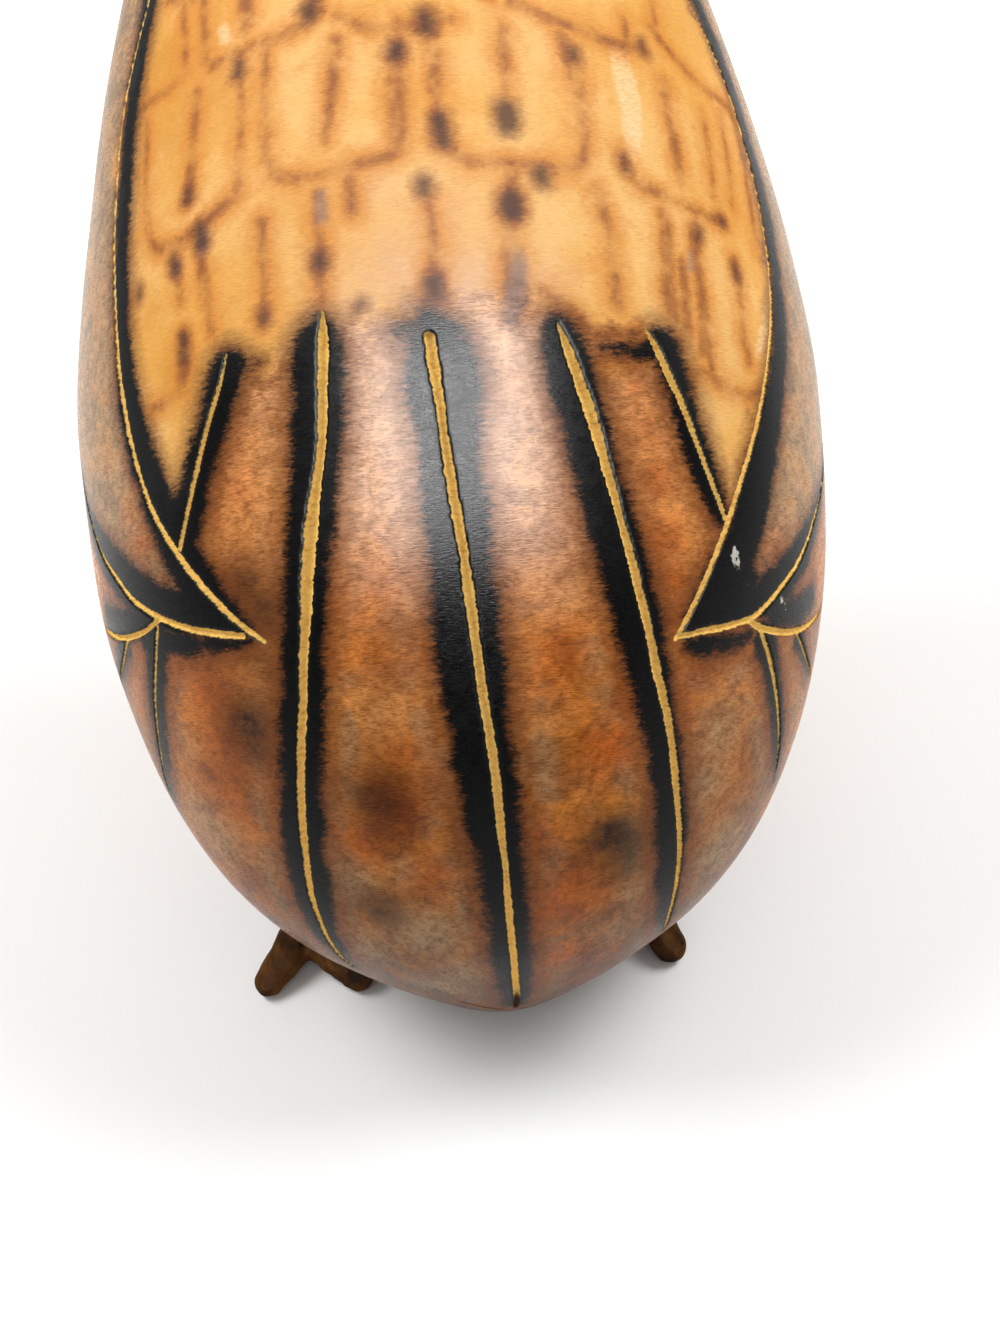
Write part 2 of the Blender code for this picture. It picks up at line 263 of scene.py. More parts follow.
# what the maker drew: (station mm, angle, half width mm), angles from the back towards the left wing
carved = {
    "tailLeftOuter": [(83.1, 27.5, .12), (80.5, 28.6, .3), (77.7, 30.4, .42), (74.7, 32.3, .45), (71.7, 34.1, .45),
        (67.7, 36.5, .42), (63.7, 39, .42)],
    "tailLeft": [(85.6, 13.6, .2), (82.3, 13.8, .85), (78.7, 14.3, .78), (73.7, 15, .7), (69.7, 16, .7),
        (67.3, 16.8, .88), (63.7, 17.9, 1.15), (59.7, 19, 1.08), (55.5, 20.1, .92), (51.5, 21.5, .75),
        (46.3, 23.2, .7), (39.7, 26, .72), (32.8, 29.3, .7), (28, 32, .62), (23.2, 35.6, .55), (19.8, 38.4, .45),
        (15.4, 43.5, .4), (11.5, 49, .3)],
    "tailMiddle": [(81.9, .6, .8), (78.9, .4, .82), (75.3, .1, .66), (72.3, 0, .64), (69.3, -.2, .7),
        (64.1, -.6, .72), (60.1, -1, .7), (57.1, -1.1, .76), (53.9, -1.3, .76), (49.7, -1.5, .72), (45.5, -1.7, .72),
        (42.3, -2, .68), (34.8, -2.5, .72), (30.2, -2.6, .66), (25.4, -2.9, .46), (20.2, -3, .6), (12.8, -3.7, .6),
        (7, -5, .6), (2.2, -8, .5)],
    "tailRight": [(82.3, -15.4, .15), (79.5, -16.4, .7), (76.3, -17.4, .84), (73.3, -18.4, .95), (69.1, -19.5, .8),
        (64.9, -20.6, .72), (61.7, -21.4, .58), (57.5, -22.6, .7), (53.9, -23.7, .72), (50.1, -25, .72),
        (45.7, -26.5, .78), (42.3, -28, .74), (37.7, -30, .66), (34.2, -31.4, .7), (30.8, -33, .6),
        (25.6, -36.2, .52), (20.2, -40.4, .45), (14.8, -47.5, .35), (11.6, -56, .28)],
    "tailRightOuter": [(81.5, -27.4, .15), (79.7, -28.6, .55), (77.1, -30, .64), (73.9, -31.8, .58), (71.3, -33, .52),
        (68.7, -34.2, .46), (65.3, -35.9, .45), (61.2, -38, .42)],
    "wingLeftBack": [(140, 49, .2), (129.6, 50.5, .34), (121, 52.2, .36), (111.3, 53.3, .36), (105.9, 53, .36),
        (100.1, 52.4, .36), (94.1, 51.2, .38), (89.3, 50.2, .44), (84.7, 49.2, .6), (80.5, 48.2, .68),
        (76.5, 47.3, .6), (73.1, 46.2, .54), (69.5, 44.6, .52), (66.7, 42.8, .52), (63.3, 39.9, .6),
        (60.1, 36.7, .62), (57.7, 34.1, .58), (55.3, 31.2, .54), (52.7, 27.3, .4)],
    "wingRightBack": [(138, -50, .2), (123.2, -55, .3), (119.2, -56.6, .3), (114.4, -58.2, .3), (108.9, -58.8, .3),
        (102.7, -58.4, .3), (96.5, -57.4, .32), (91.5, -56.2, .36), (85.9, -54, .4), (80.5, -51.2, .42),
        (74.3, -47.8, .44), (69.7, -44.8, .46), (65.3, -41.6, .5), (60.7, -38.4, .5), (56.9, -35.7, .5),
        (53.7, -33.4, .5), (51.1, -31.4, .5), (48.7, -29.4, .36)],
    "wingLeftEdge": [(140, 49.5, .2), (138, 66, .35), (127, 80, .38), (112, 88, .38), (97, 87, .38), (84, 80, .38),
        (73, 71, .4), (66.1, 64.4, .42), (64.1, 61.6, .44), (61.5, 57, .5), (58.9, 52.6, .5), (57.3, 48.5, .52),
        (55.9, 44, .56), (54.9, 40, .58), (54.1, 35.5, .62), (53.5, 30.5, .5)],
    "wingRightEdge": [(138, -50.5, .2), (137, -68, .35), (127, -83, .38), (112, -92, .38), (97, -91, .38),
        (83, -86, .36), (70.5, -77, .3), (64.5, -69, .32), (60.7, -63, .4), (57.3, -58.4, .46), (54.7, -54, .5),
        (52.5, -49.6, .52), (50.2, -44.5, .56), (49.5, -39.5, .56), (49.2, -34, .52), (48.9, -30, .45)],
    "foldLeft": [(56.5, 77, .25), (55.7, 70, .45), (54.9, 63.5, .5), (54.7, 57, .5), (55.1, 51.5, .46),
        (56.3, 46.2, .4)],
    "foldRight": [(50, -42.6, .35), (48.9, -46, .58), (48.2, -50.5, .6), (47.8, -56, .6), (48.2, -62.5, .5),
        (49.6, -71, .35), (52, -79, .25)],
    "underLeft": [(55.5, 47, .3), (51.9, 49.7, .3), (47.1, 54.2, .3), (43.5, 57.7, .3), (39.7, 61.8, .28),
        (35.6, 68, .2)],
    "underLeftShort": [(54.6, 57.5, .35), (52.1, 63, .3), (49.3, 74, .2)],
    "underRight": [(48.8, -46, .42), (45.7, -49.2, .55), (42.5, -52.2, .5), (39.5, -55, .44), (35, -59.4, .34),
        (31, -63.4, .25)],
    "underRightShort": [(47.7, -58, .36), (44.7, -64.2, .3), (41.9, -72, .22)],
    "tipLeft": [(4.6, 26, .22), (3.2, 19, .35), (1.9, 5, .32)],
    "tipRight": [(1.6, -16, .25), (1.9, -36, .36), (2.8, -52, .36), (4.4, -60, .2)],
}
burnt = [
    [(140, 50, .8), (130.4, 50, 1.9), (123, 50, 1.9), (115.8, 50.1, 1.8), (106.3, 49.9, 1.7), (98.1, 49.4, 1.7),
     (90.1, 48.6, 1.8), (83.3, 47.4, 2.1), (78.7, 46.4, 2.5), (74.5, 45, 2.8), (70.5, 43.4, 3), (67.1, 41.6, 3.1),
     (63.9, 39.8, 3.1), (61.1, 37.8, 3), (58.3, 35.5, 2.9), (56.1, 33, 2.3), (54.5, 30.5, 1.3), (53.5, 28.5, .4)],
    [(83.1, 27, .6), (82, 27.2, 1.7), (79.9, 28.5, 2.3), (77.1, 30, 2.2), (74.1, 31.7, 2.1), (71.1, 33.9, 2.2),
     (68.1, 36, 2.6), (65.7, 38, 3)],
    [(82.1, 26, 1), (81.5, 24, .6), (81.1, 22.5, .2)],
    [(141, 50.5, 1.2), (138.5, 66.5, 1.5), (127.5, 80.5, 1.3), (112, 88.5, 1), (97, 87, .8), (84, 80, .9),
     (74, 72, 1.2), (69.4, 68.5, 2), (65.7, 63, 2.7), (62.6, 57, 3), (59.9, 51.5, 3), (57.9, 46, 2.8),
     (56.6, 41, 2.7), (55.9, 35.5, 2.4), (54.7, 31.5, 1.5)],
    [(53.6, 51, 1.2), (53.5, 44, 1.3), (53.1, 37.5, 1.2), (52.9, 32.5, .9), (52.9, 29.5, .5)],
    [(54.1, 47.7, 2.2), (50.7, 50.5, 2.1), (47.1, 53.7, 2), (41.7, 58.6, 1.8), (35, 67.6, 1.1)],
    [(53.9, 59.5, 1.9), (49.7, 71.5, 1.1)], [(57.1, 66, 2.2), (56.1, 56, 2), (55.9, 49, 1.9)],
    [(85, 14, .5), (83.5, 14.2, 1.8), (81.2, 14.6, 2.9), (76.7, 15, 2.9), (71.7, 16, 2.8), (66.7, 17.4, 2.6),
     (61.7, 18.6, 2.6), (56.7, 20, 2.6), (51.5, 21.6, 2.6), (46.3, 23.3, 2.7), (40.7, 25.5, 2.8), (35.2, 28, 2.8),
     (29.2, 31.5, 2.8), (25.4, 33.8, 2.8), (21.2, 37.3, 2.6), (17.4, 41, 2.2), (14.8, 44, 1.7), (11.5, 49, .9)],
    [(83.7, .6, 1.2), (81.5, 0, 2.9), (79.3, -.6, 3.7), (76.9, -.9, 4), (74.3, -.7, 3.5), (72.3, -.6, 3.2),
     (69.3, -.5, 3.1), (65.1, -.5, 3.1), (61.1, -.7, 3.1), (57.1, -.6, 3.2), (52.9, -.5, 3.5), (48.9, -.6, 3.6),
     (44.5, -.8, 3.3), (40.3, -.9, 3.2), (36, -1.1, 3.2), (31.4, -1.4, 3.2), (27.8, -2, 2.9), (22.8, -2.3, 2.6),
     (17.4, -2.7, 2.4), (11, -3.4, 2.3), (3.4, -5.5, 1.9)],
    [(82.5, 5.4, .4), (82.6, 3.8, .9), (82.9, 1.5, 1.1), (82.9, -1.6, 1), (82.1, -3.2, .8)],
    [(82.6, -15.2, .6), (80.5, -15.5, 2.1), (77.9, -16.1, 2.6), (74.3, -16.9, 2.7), (69.1, -18.1, 2.7),
     (63.9, -19.4, 2.8), (59.1, -20.7, 2.9), (54.9, -22.1, 2.9), (51.1, -23.5, 2.9), (47.5, -24.5, 2.7),
     (43.5, -26, 2.4), (39.1, -27.7, 2.2), (34.4, -30, 2.2), (29.6, -32, 2.2), (24.6, -34.7, 2.1), (19.8, -38.6, 1.9),
     (16, -43.7, 1.6), (12.2, -53, 1)],
    [(81, -29, .6), (79.3, -30.3, 1.8), (76.9, -31, 1.9), (74.5, -31.7, 1.9), (71.9, -32.5, 1.8), (69.1, -33.5, 1.9),
     (66.5, -34.6, 1.9), (63.7, -36.1, 1.8), (61.5, -37.2, 1.5)],
    [(79.7, -21, .2), (79.3, -23.6, .5), (79.1, -26, .8), (79.1, -28, 1)],
    [(138, -50.5, .8), (125, -58, 1.7), (118.4, -60, 1.7), (110.5, -61, 1.7), (101.9, -60.6, 1.6), (94.3, -59.2, 1.5),
     (87.5, -57.2, 1.6), (81.5, -54.6, 1.9), (75.5, -51.5, 2.2), (69.7, -48, 2.5), (64.1, -44.4, 2.8),
     (59.3, -41.6, 3.1), (56.1, -39.3, 3.3), (53.5, -36.5, 3.1), (51.7, -34.2, 2.4), (50.3, -32.3, 1.5)],
    [(139, -51.5, 1.2), (137.5, -68.5, 1.5), (127.5, -83.5, 1.3), (112, -92.5, 1), (97, -91, .8), (83, -86, .7),
     (70, -76, .8), (63.5, -67.5, 1.4), (58.9, -60.4, 2.1), (55.9, -55.6, 2.6), (53.6, -50.6, 2.7), (52.2, -45, 2.4),
     (51.1, -40, 1.9), (50.2, -35, 1.1)],
    [(48.1, -31.8, .7), (47.7, -34, 1.2), (47.6, -37.5, 1.3), (47.8, -41, 1.1), (48.3, -43.5, .7)],
    [(51.6, -63, 1.8), (50.2, -56.5, 1.9), (50.1, -50, 1.8)],
    [(47.6, -47.6, 2), (43.7, -51, 1.9), (40.1, -54, 1.7), (35, -59, 1.3), (29.6, -65.5, .7)],
    [(46.8, -59.5, 1.5), (42.5, -68.5, .8)], [(205.7, 74, 3.9), (206.3, 74, 3.9)],
    [(205.7, -74, 3.9), (206.3, -74, 3.9)],
]
feathered = [
    [(117.6, 9.6, .45), (115.6, 5, .55), (115, 1, .6), (115.4, -2.5, .6), (115.9, -6.5, .5)],
    [(118, -16, .5), (116.2, -20.5, .5), (115.2, -25, .55), (113.9, -29, .55), (113.2, -36, .6)],
    [(116.6, -40, .4), (112.7, -44.5, .4), (110.3, -49.5, .4), (109.3, -56.5, .4)],
    [(115.4, 30.5, .5), (116, 25.5, .45), (116.5, 20.5, .4), (117.2, 15.5, .5), (118.8, 12.5, .5)],
    [(113.8, 46, .5), (114.4, 40.5, .45), (115.6, 36.5, .4)],
    [(115.8, 21, .35), (110.7, 21, .38), (106.1, 21, .42), (102.4, 20.6, .55), (100.4, 18.2, .5), (100, 14.5, .45),
     (100.4, 10, .45), (100.8, 5.4, .45), (101.6, 2.6, .55), (104, 1.8, .5), (108.1, 1.5, .6), (112.5, 1.5, .7),
     (116, 1, .55)],
    [(112.1, -4, .45), (107.7, -3.6, .35), (104.5, -3.2, .5), (102.1, -3.4, .7), (100.5, -5, .6), (99.6, -8, .55),
     (99.3, -12, .55), (98.7, -16.5, .6), (98.9, -20.6, .55), (100.2, -22.4, .5), (103.5, -23.1, .6),
     (107.5, -23.7, .5), (112.1, -24.6, .5)],
    [(100.6, -28.6, .45), (97.6, -30, .5), (96.3, -34, .45), (95.1, -38.5, .45), (94.1, -45.5, .6)],
    [(112.5, 25.4, .35), (107.9, 24.8, .35), (103.5, 25, .4), (100.4, 25.2, .5), (98.9, 27.7, .55), (97.7, 31.2, .6)],
    [(112.1, 44.4, .4), (107.5, 44, .35), (101.5, 43, .4), (97.3, 41.4, .55), (96.3, 37.5, .45), (96.8, 33.5, .5)],
    [(109.3, -56.5, .4), (104.3, -56.4, .4), (97.7, -54.4, .4), (91.8, -53, .45)],
    [(94.9, 31.5, .45), (91.5, 31, .5), (89.1, 30.2, .45), (85.9, 29.6, .3)],
    [(98, 13, .6), (94.3, 13.4, .45), (91.1, 13.6, .6), (87, 13.5, .3)], [(100.4, 9, .6), (97.7, 9, .4)],
    [(98.5, -12, .7), (94.9, -11.5, .8), (91.1, -10.8, .9), (86.9, -10.6, 1.2), (84.4, -10.2, 1)],
    [(85.5, -14.9, .5), (83.2, -17.4, .45), (81.3, -20.5, .45), (80.9, -26, .4)],
    [(94.3, -34, .45), (90.1, -33.2, .6), (85.7, -32.6, .4)],
    [(75.3, -32.6, .3), (77, -35.6, .4), (75.8, -38.6, .4), (74.6, -43, .4), (75, -47.4, .35)],
    [(96.3, 36.5, .5), (93.5, 36, .6), (90.1, 35, .4)], [(79.2, 41, .35), (79.7, 37, .4), (81.5, 34.5, .35)],
    [(128.6, 23, .4), (126.4, 18.5, .45), (125.6, 12, .5), (126, 6, .5), (127.6, 2, .5), (131, .5, .5)],
    [(131, -1.5, .4), (127.6, -3, .5), (126, -7, .5), (125.6, -13, .5), (126.4, -19, .5), (129, -23, .45)],
    [(129, 26, .4), (126.6, 30, .45), (126.2, 36, .5), (127.6, 43, .4)],
    [(129, -27, .4), (126.6, -31, .45), (126.2, -38, .5), (127.6, -46, .4)],
    [(138, 12, .4), (136.4, 6, .5), (136.2, -3, .5), (138, -10, .4)],
    [(139, 34, .4), (136.8, 28, .5), (136.6, 20, .5), (138, 14, .4)],
    [(138, -12, .4), (136.6, -18, .5), (136.8, -28, .5), (139, -35, .4)],
    [(126.4, 38.5, .33), (120.2, 37, .39), (115.8, 36, .33)],
    [(125, 33.5, .44), (120.4, 32.5, .49), (116.4, 32, .43)],
    [(94.1, 31.5, .43), (91.5, 30.5, .53), (89.1, 30.5, .42)], [(97.3, 42, .33), (96.1, 39, .44), (95.9, 35.5, .43)],
    [(113.6, 2, .52), (108.1, 2.5, .57), (102.7, 2.5, .51)], [(116.2, -4, .42), (112.1, -3.5, .47), (107.9, -3, .41)],
    [(107.1, -47, .22), (102.5, -46, .28), (97.3, -44.5, .22)],
    [(108.1, -52.5, .23), (102.1, -50.5, .23), (96.5, -48.5, .22)],
    [(99.7, -22.5, .42), (105.3, -23.5, .53), (110.9, -23, .53), (113.8, -22.5, .42)],
    [(79.9, -15, .51), (78.5, -20, .41), (78.9, -27, .42)],
]
dashed = [
    [(112.7, 33.2, .6), (108.5, 33.4, .5), (104.7, 33.6, .55), (100.9, 34, .9)],
    [(123.6, 25, .8), (120.6, 24.6, .9), (118.6, 24.5, .5)],
    [(114.8, 10, .6), (111.3, 10.5, .6), (106.9, 11.4, .5), (103.6, 12.3, .3)],
    [(114.4, -14, .6), (110.7, -13.5, .6), (107.7, -13, .3)],
    [(109.7, -39.6, .7), (105.3, -38.8, .5), (101.7, -38.5, .65), (98.1, -38, .4)],
    [(96.1, -23.6, .65), (92.1, -24.2, .45), (87.7, -24, .5), (83.9, -23.7, .65)],
    [(96.1, 21.5, .55), (93.3, 21.5, .4), (88.9, 21.2, .35), (86.1, 21.5, .7)],
    [(92.9, -38.4, .8), (88.1, -37.8, .6), (82.7, -37.4, .65), (77.5, -37.6, .5)],
    [(90, -46, .5), (85.3, -45.4, .4), (80.7, -45, .4), (78.3, -45.4, .35)],
    [(86, 34.4, .8), (82.9, 34.7, 1), (80.1, 35.8, .5)],
    [(96.1, -1, .3), (91.7, -1, .45), (88.5, -1, .7), (85.5, -.6, .6)], [(124, 13, .5), (120.5, 12.6, .5)],
    [(124, -12.6, .55), (119, -13, .6)], [(134, 2, .5), (130, 2, .5)], [(98.3, 13.5, .41), (95.1, 13.5, .51)],
    [(99.3, 9, .51), (95.9, 9, .51)], [(94.3, -33.5, .43), (88.9, -32.5, .64), (84.7, -32, .95), (80.9, -32, .85)],
    [(88.9, -35, .43), (84.7, -34.5, .64), (80.9, -34, .64)],
    [(88.7, -38, .43), (84.9, -37.5, .65), (79.3, -36.5, .54)],
    [(87.7, -46, .33), (84.1, -45.5, .33), (80.1, -44.5, .33)], [(116.6, -35, .44), (112.8, -33.5, .33)],
    [(120.6, -42.5, .34), (117.4, -41.5, .33)],
]
dotted = [
    [(105.1, -12.5, 1.25), (103.7, -12.5, 1.25)], [(104.6, -3.4, .8), (102.3, -3.5, .95)],
    [(95.2, -11.5, 1.3), (94.3, -11.5, 1.3)], [(97.8, -.5, .75), (97.2, -.5, .75)], [(97, 31.6, 1), (95.6, 31, 1)],
    [(114.5, 25.5, .5), (113.4, 25.5, .65)], [(91.2, 13.5, .85), (90.6, 13.5, .85)],
    [(119.4, 14, 1.1), (118.4, 14, .8)], [(116.5, -3, .9), (114.8, -3, .9)], [(112.7, 1.5, .9), (112.2, 1.5, .9)],
    [(92.8, 44, .55), (92, 44, .55)], [(94.6, 36.5, .65), (93.5, 36, .65)], [(112, -24, .65), (111.3, -24, .65)],
    [(98.1, -16, .9), (97.4, -16, .8)], [(88.8, -45.6, .55), (88, -45.8, .55)], [(87.4, -.5, .95), (86, -.5, .9)],
    [(101.7, 34, .54), (100.9, 34, .65)], [(86.5, 21.5, .52), (85.9, 21.5, .52)],
    [(85.9, 34.5, .53), (83.7, 34.5, .64)], [(85.9, 8.5, .41), (85.5, 9, .41)],
    [(99.9, -28.5, .32), (99.1, -28.5, .42)], [(94.5, -45, .33), (93.9, -45, .33)],
    [(92.7, -39.5, .44), (91.7, -39, .43)], [(88.5, -46, .33), (87.9, -45.5, .33)],
    [(114, -37, .55), (113.2, -37, .55)],
]
bluish = [
    [(89.3, -11.5, .61), (86.5, -11, 1.02), (84.1, -10, 1.12), (82.7, -9.5, .81)],
    [(89.7, -37, .32), (88.5, -36.5, .43)], [(97.9, 13, .41), (95.5, 13, .51)], [(94.3, 35.5, .32), (93.1, 36, .32)],
    [(87.3, -1, .61), (86.1, -1, .61)], [(96.3, 31, .64), (94.9, 31, .64)],
]
pale = [
    [(112.1, -32, 1.3), (108.1, -32, 1.4), (104.5, -31.5, 1.29), (101.1, -30.5, .75), (98.5, -29, .21)],
    [(119.6, 29, .76), (118.2, 28, .75)], [(85.9, -53.5, .46), (82.1, -50, .67), (79.1, -47.5, .56)],
]
cracks = [
    [(39.3, -39, .11), (37.6, -38.5, .11), (35.2, -42, .11), (33.6, -41.5, .11)],
    [(35, -35.5, .11), (34.2, -38.5, .11), (34.2, -41.5, .11)], [(58.1, -14, .1), (56.1, -15, .1), (54.3, -14.5, .1)],
    [(65.1, -.5, .1), (65.7, -3, .1), (65.5, -6, .1)], [(43.7, -23.5, .11), (42.5, -25, .11), (42.7, -26.5, .11)],
    [(48.7, 16.5, .1), (47.5, 16, .1), (46.3, 16.5, .1)], [(67.3, -13.5, .1), (65.7, -14.5, .1), (64.3, -13.5, .1)],
]
# soft patches: (station mm, angle, radius mm, strength)
patches = {
    "amber": [(50.3, 13, 4.7, .5), (54.9, 15, 3.6, .5), (33.8, 13, 4.8, 1), (29.8, 20, 3.3, .9), (36.4, 7.5, 2.6, .7),
        (25.2, 9, 3.1, .7), (39.1, 10.5, 3.2, .7), (31.4, 5, 2.1, .4), (48.7, 38.5, 4.9, .9), (37.4, 41, 3.9, .7),
        (50.3, 43, 2.8, .6), (49.1, -12.5, 4.1, .75), (37.9, -19.5, 4.1, 1), (34.8, -15, 3, .4),
        (28.4, -8.5, 3.5, .8), (23, -13.5, 3.6, .8), (42.3, -21, 3, .7), (19.6, -11, 5, .9), (12.5, -16, 4, .7),
        (20.6, -20, 2.9, .6), (31.2, -7.5, 2.4, .5), (44.3, -34, 3.1, .6), (41.3, -32, 3.1, .5),
        (59.3, -27.5, 3.2, .8), (54.9, -28.5, 2.6, .9), (50.9, -29, 1.7, .9), (65.7, -27, 2.9, .8),
        (70.9, -26, 2.5, .6), (57.1, -49.5, 2.9, .8), (54.5, -42, 1.8, .9), (69.1, 28.5, 3.2, .5),
        (65.9, 31.5, 2.1, .6), (58, 8, 6, .45), (50, 7.5, 5.5, .4), (58.5, -9, 5, .35), (47, -11, 5.5, .6),
        (42, 38, 6.5, .7), (36, 44, 5.5, .6), (58, 31, 4.5, .7), (64.9, 48, 2.5, .8), (67.7, 50.5, 2, .5),
        (75.1, -25, 1.7, .7), (73.9, 26.5, 2.7, .4)],
    "ash": [(25.2, 26, 4.4, .9), (26, 14.5, 2.4, .6), (34.2, 23, 2.4, .7), (38.5, 5.5, 2.1, .8), (24.8, 6.5, 2.2, .7),
        (15.2, 36.5, 6.5, 1), (17.5, 15, 5.5, .9), (10.5, 10, 5, .85), (36, 6, 3, .7), (29, 27, 4, .7),
        (43.9, 12.5, 3.7, .5), (46.7, 2.5, 3.1, .6), (8.4, 24.5, 5, .9), (41.7, 49.5, 3.4, .6), (31.6, 54, 6.5, .9),
        (26.8, 41.5, 4, .6), (59.5, -10.5, 4.6, .7), (54.1, -12.5, 3.6, .6), (45.7, -6.5, 3.1, .4),
        (42.5, -9, 3.7, .45), (37.2, -8, 2.6, .5), (58.5, -17.5, 2.3, .7), (20.2, -29, 3.2, .7),
        (15.6, -19.5, 3.5, .5), (37.9, -39.5, 5, .9), (31.6, -38.5, 4.5, .9), (22.6, -51.5, 7, 1), (21, -44, 3.5, .9),
        (60.7, 23.5, 2.6, .5), (61.7, 44.5, 2, .5), (55.5, 5, 2.9, .8), (60.7, 6, 3.1, .7), (14.8, -30, 3.5, .7),
        (15.4, -59.5, 3.7, .9)],
    "smoke": [(34.5, 15, 5.2, .74), (21.4, 22, 3.4, .72), (27.6, 5.5, 1.5, .6), (43.5, 33.5, 5.2, .88),
        (55.7, 26, 4.2, .78), (58.9, 28.5, 3.8, .78), (57.9, 26.5, 1.9, .9), (50.5, 27.5, 3.8, .5),
        (38.7, 42, 3.4, .35), (27.6, -21, 3.4, 1), (26.5, -23.5, 4.8, .75), (23.2, -24.5, 2.5, .5),
        (57.1, -14, 1.4, .3), (45.3, -17, 1.9, .25), (59.5, 35.5, 2.2, .8), (58.5, 45.5, 2, .6), (52, 70, 6, .3),
        (42, 66, 6, .3), (10.2, 63, 3.8, .3)],
    "ochre": [(118, 40, 8, .8), (108, 43, 7, .8), (98, 44, 6, .6), (112, 30, 6, .5), (90, 42, 5, .5), (84, 38, 4, .6),
        (124, 8, 7, .5), (90, -38, 5, .2), (82, -43, 4, .2), (118, -44, 6, .5), (96, 18, 6, .3), (100, -48, 6, .4)],
    "rose": [(85.5, -4, 6, .85), (89, 4, 5, .6), (84.5, 9, 4.5, .6), (86, -13, 4, .5), (94, -2, 5, .3),
        (98, 6, 4, .25)],
}
# pale chips: (station mm, angle, radius mm)
chips = [(56.9, -39.5, .66), (55.9, -40.5, .55), (57.7, -39.5, .33), (51.7, -51.5, .46), (50.9, -52.5, .34),
    (48.1, 39, .28), (48.5, 39.5, .17), (47.3, 39, .22), (48.5, 5.5, .12), (57.1, -31, .11)]
# a carved ring round each eye, lengths in mm
eyeRing = {"station": 206, "angle": 74, "length": 2.5, "turn": 7.46, "half": .55, "points": 12}
for side, name in ((1, "eyeLeft"), (-1, "eyeRight")):
    turns = [2 * math.pi * k / eyeRing["points"] for k in range(eyeRing["points"] + 1)]
    carved[name] = [(round(eyeRing["station"] + eyeRing["length"] * math.cos(t), 1),
                     round(side * eyeRing["angle"] + eyeRing["turn"] * math.sin(t), 1), eyeRing["half"]) for t in turns]
# the gold ends towards the neck in a row of scallops
scallops = {"station": 149.5, "height": 3.2, "turns": 12, "reach": 48, "step": 3, "half": .45}


def scallopEdge(angle):
    return scallops["station"] + scallops["height"] * np.abs(np.sin(angle * scallops["turns"]))


for first in (-scallops["reach"], 0):
    feathered.append([(round(float(scallopEdge(math.radians(a))), 1), a, scallops["half"])
                      for a in range(first, first + scallops["reach"] + 1, scallops["step"])])
# where the gold ends towards the tail: (angle, station mm)
goldBorder = [
    (-62, 78), (-52, 74), (-46, 68), (-42, 64), (-38.5, 63.5), (-36, 66), (-33, 72), (-29, 79.5), (-27, 80.5),
    (-21, 80.5), (-16, 83), (-8, 84.5), (0, 84), (8, 83.5), (14, 84), (18, 81.5), (23, 81.5), (27, 82.5), (30, 79),
    (33, 74), (36, 68.5), (40, 66.5), (44, 70), (48, 76), (56, 80),
]
# how far round the wings reach under the gourd: (station mm, angle)
wingUnder = [(70, 74), (84, 80.5), (97, 89), (112, 90), (127, 81), (138, 67), (140, 50)]
wingEnd = 140
# only the part of a wing edge up to this station bounds the wing towards the tail
wingTipEnd = 97.5
# how far in mm the borders of the regions and the chips are measured
borderReach = 8
chipReach = 4.0
# attributes: (strokes, how far they are measured in mm, step along a stroke in mm)
strokeMarks = {
    "burnEdge": (burnt, 7.0, 0.7),
    "featherEdge": (feathered, 4.0, 0.5),
    "dashEdge": (dashed, 4.0, 0.5),
    "dotEdge": (dotted, 4.0, 0.3),
    "bluishEdge": (bluish, 4.0, 0.5),
    "paleEdge": (pale, 4.0, 0.5),
    "crackEdge": (cracks, 2.0, 0.15),
}
# the cuts: widths as a share of what is drawn, the rest in mm
cutting = {
    "width": 0.68,
    "step": 0.18,
    "reach": 6.0,
    "raggedWithin": 3.5,
    # waves along the edge: (per mm, seed of the side, seed of the stroke, share of the width)
    "ragged": [(0.9, 7.3, 3.1, 0.20), (3.1, 5.1, 2.3, 0.26)],
    "depth": (0.30, 0.75),
    "depthLimits": (0.35, 1.05),
    "roundness": 0.62,
    "thinnest": 0.05,
}
# pairs of a vertex and a point of a stroke that are measured at once
blockSize = 3000000
# a degree of angle counts as this many mm when a stroke is measured
degreeReach = 0.7


def strokeSamples(points, step):
    p = np.array(points, float)
    knots = runLength(np.hypot(np.diff(p[:, 0]), degreeReach * np.diff(p[:, 1])))
    count = max(2, int(math.ceil(knots[-1] / step)))
    at = np.linspace(0, knots[-1], count + 1)
    line = np.stack([hermite(knots, p[:, k], slopes(knots, p[:, k]), at) for k in range(3)], axis=-1)
    place = gourdPoint(line[:, 0] / 1000, np.radians(line[:, 1])) * 1000
    return place, line[:, 2]


def nearBlocks(places, centres, margin):
    # the vertices in a stroke's box, in blocks that fit in memory
    low, high = centres.min(axis=0) - margin, centres.max(axis=0) + margin
    found = np.nonzero(((places > low) & (places < high)).all(axis=1))[0]
    return np.array_split(found, max(1, len(found) * len(centres) // blockSize))


def strokeField(places, strokes, reach, step):
    # distance in mm to the nearest stroke's edge, negative inside, up to reach
    field = np.full(len(places), reach)
    for points in strokes:
        centres, half = strokeSamples(points, step)
        for block in nearBlocks(places, centres, reach + half.max()):
            gap = np.linalg.norm(places[block, None, :] - centres[None, :, :], axis=-1) - half[None, :]
            field[block] = np.minimum(field[block], gap.min(axis=1))
    return field


def raggedWidth(half, at, side, order):
    waves = [noise.noise((at * rate, side * sideSeed, order * strokeSeed)) * share
             for rate, sideSeed, strokeSeed, share in cutting["ragged"]]
    return half * (1 + sum(waves))


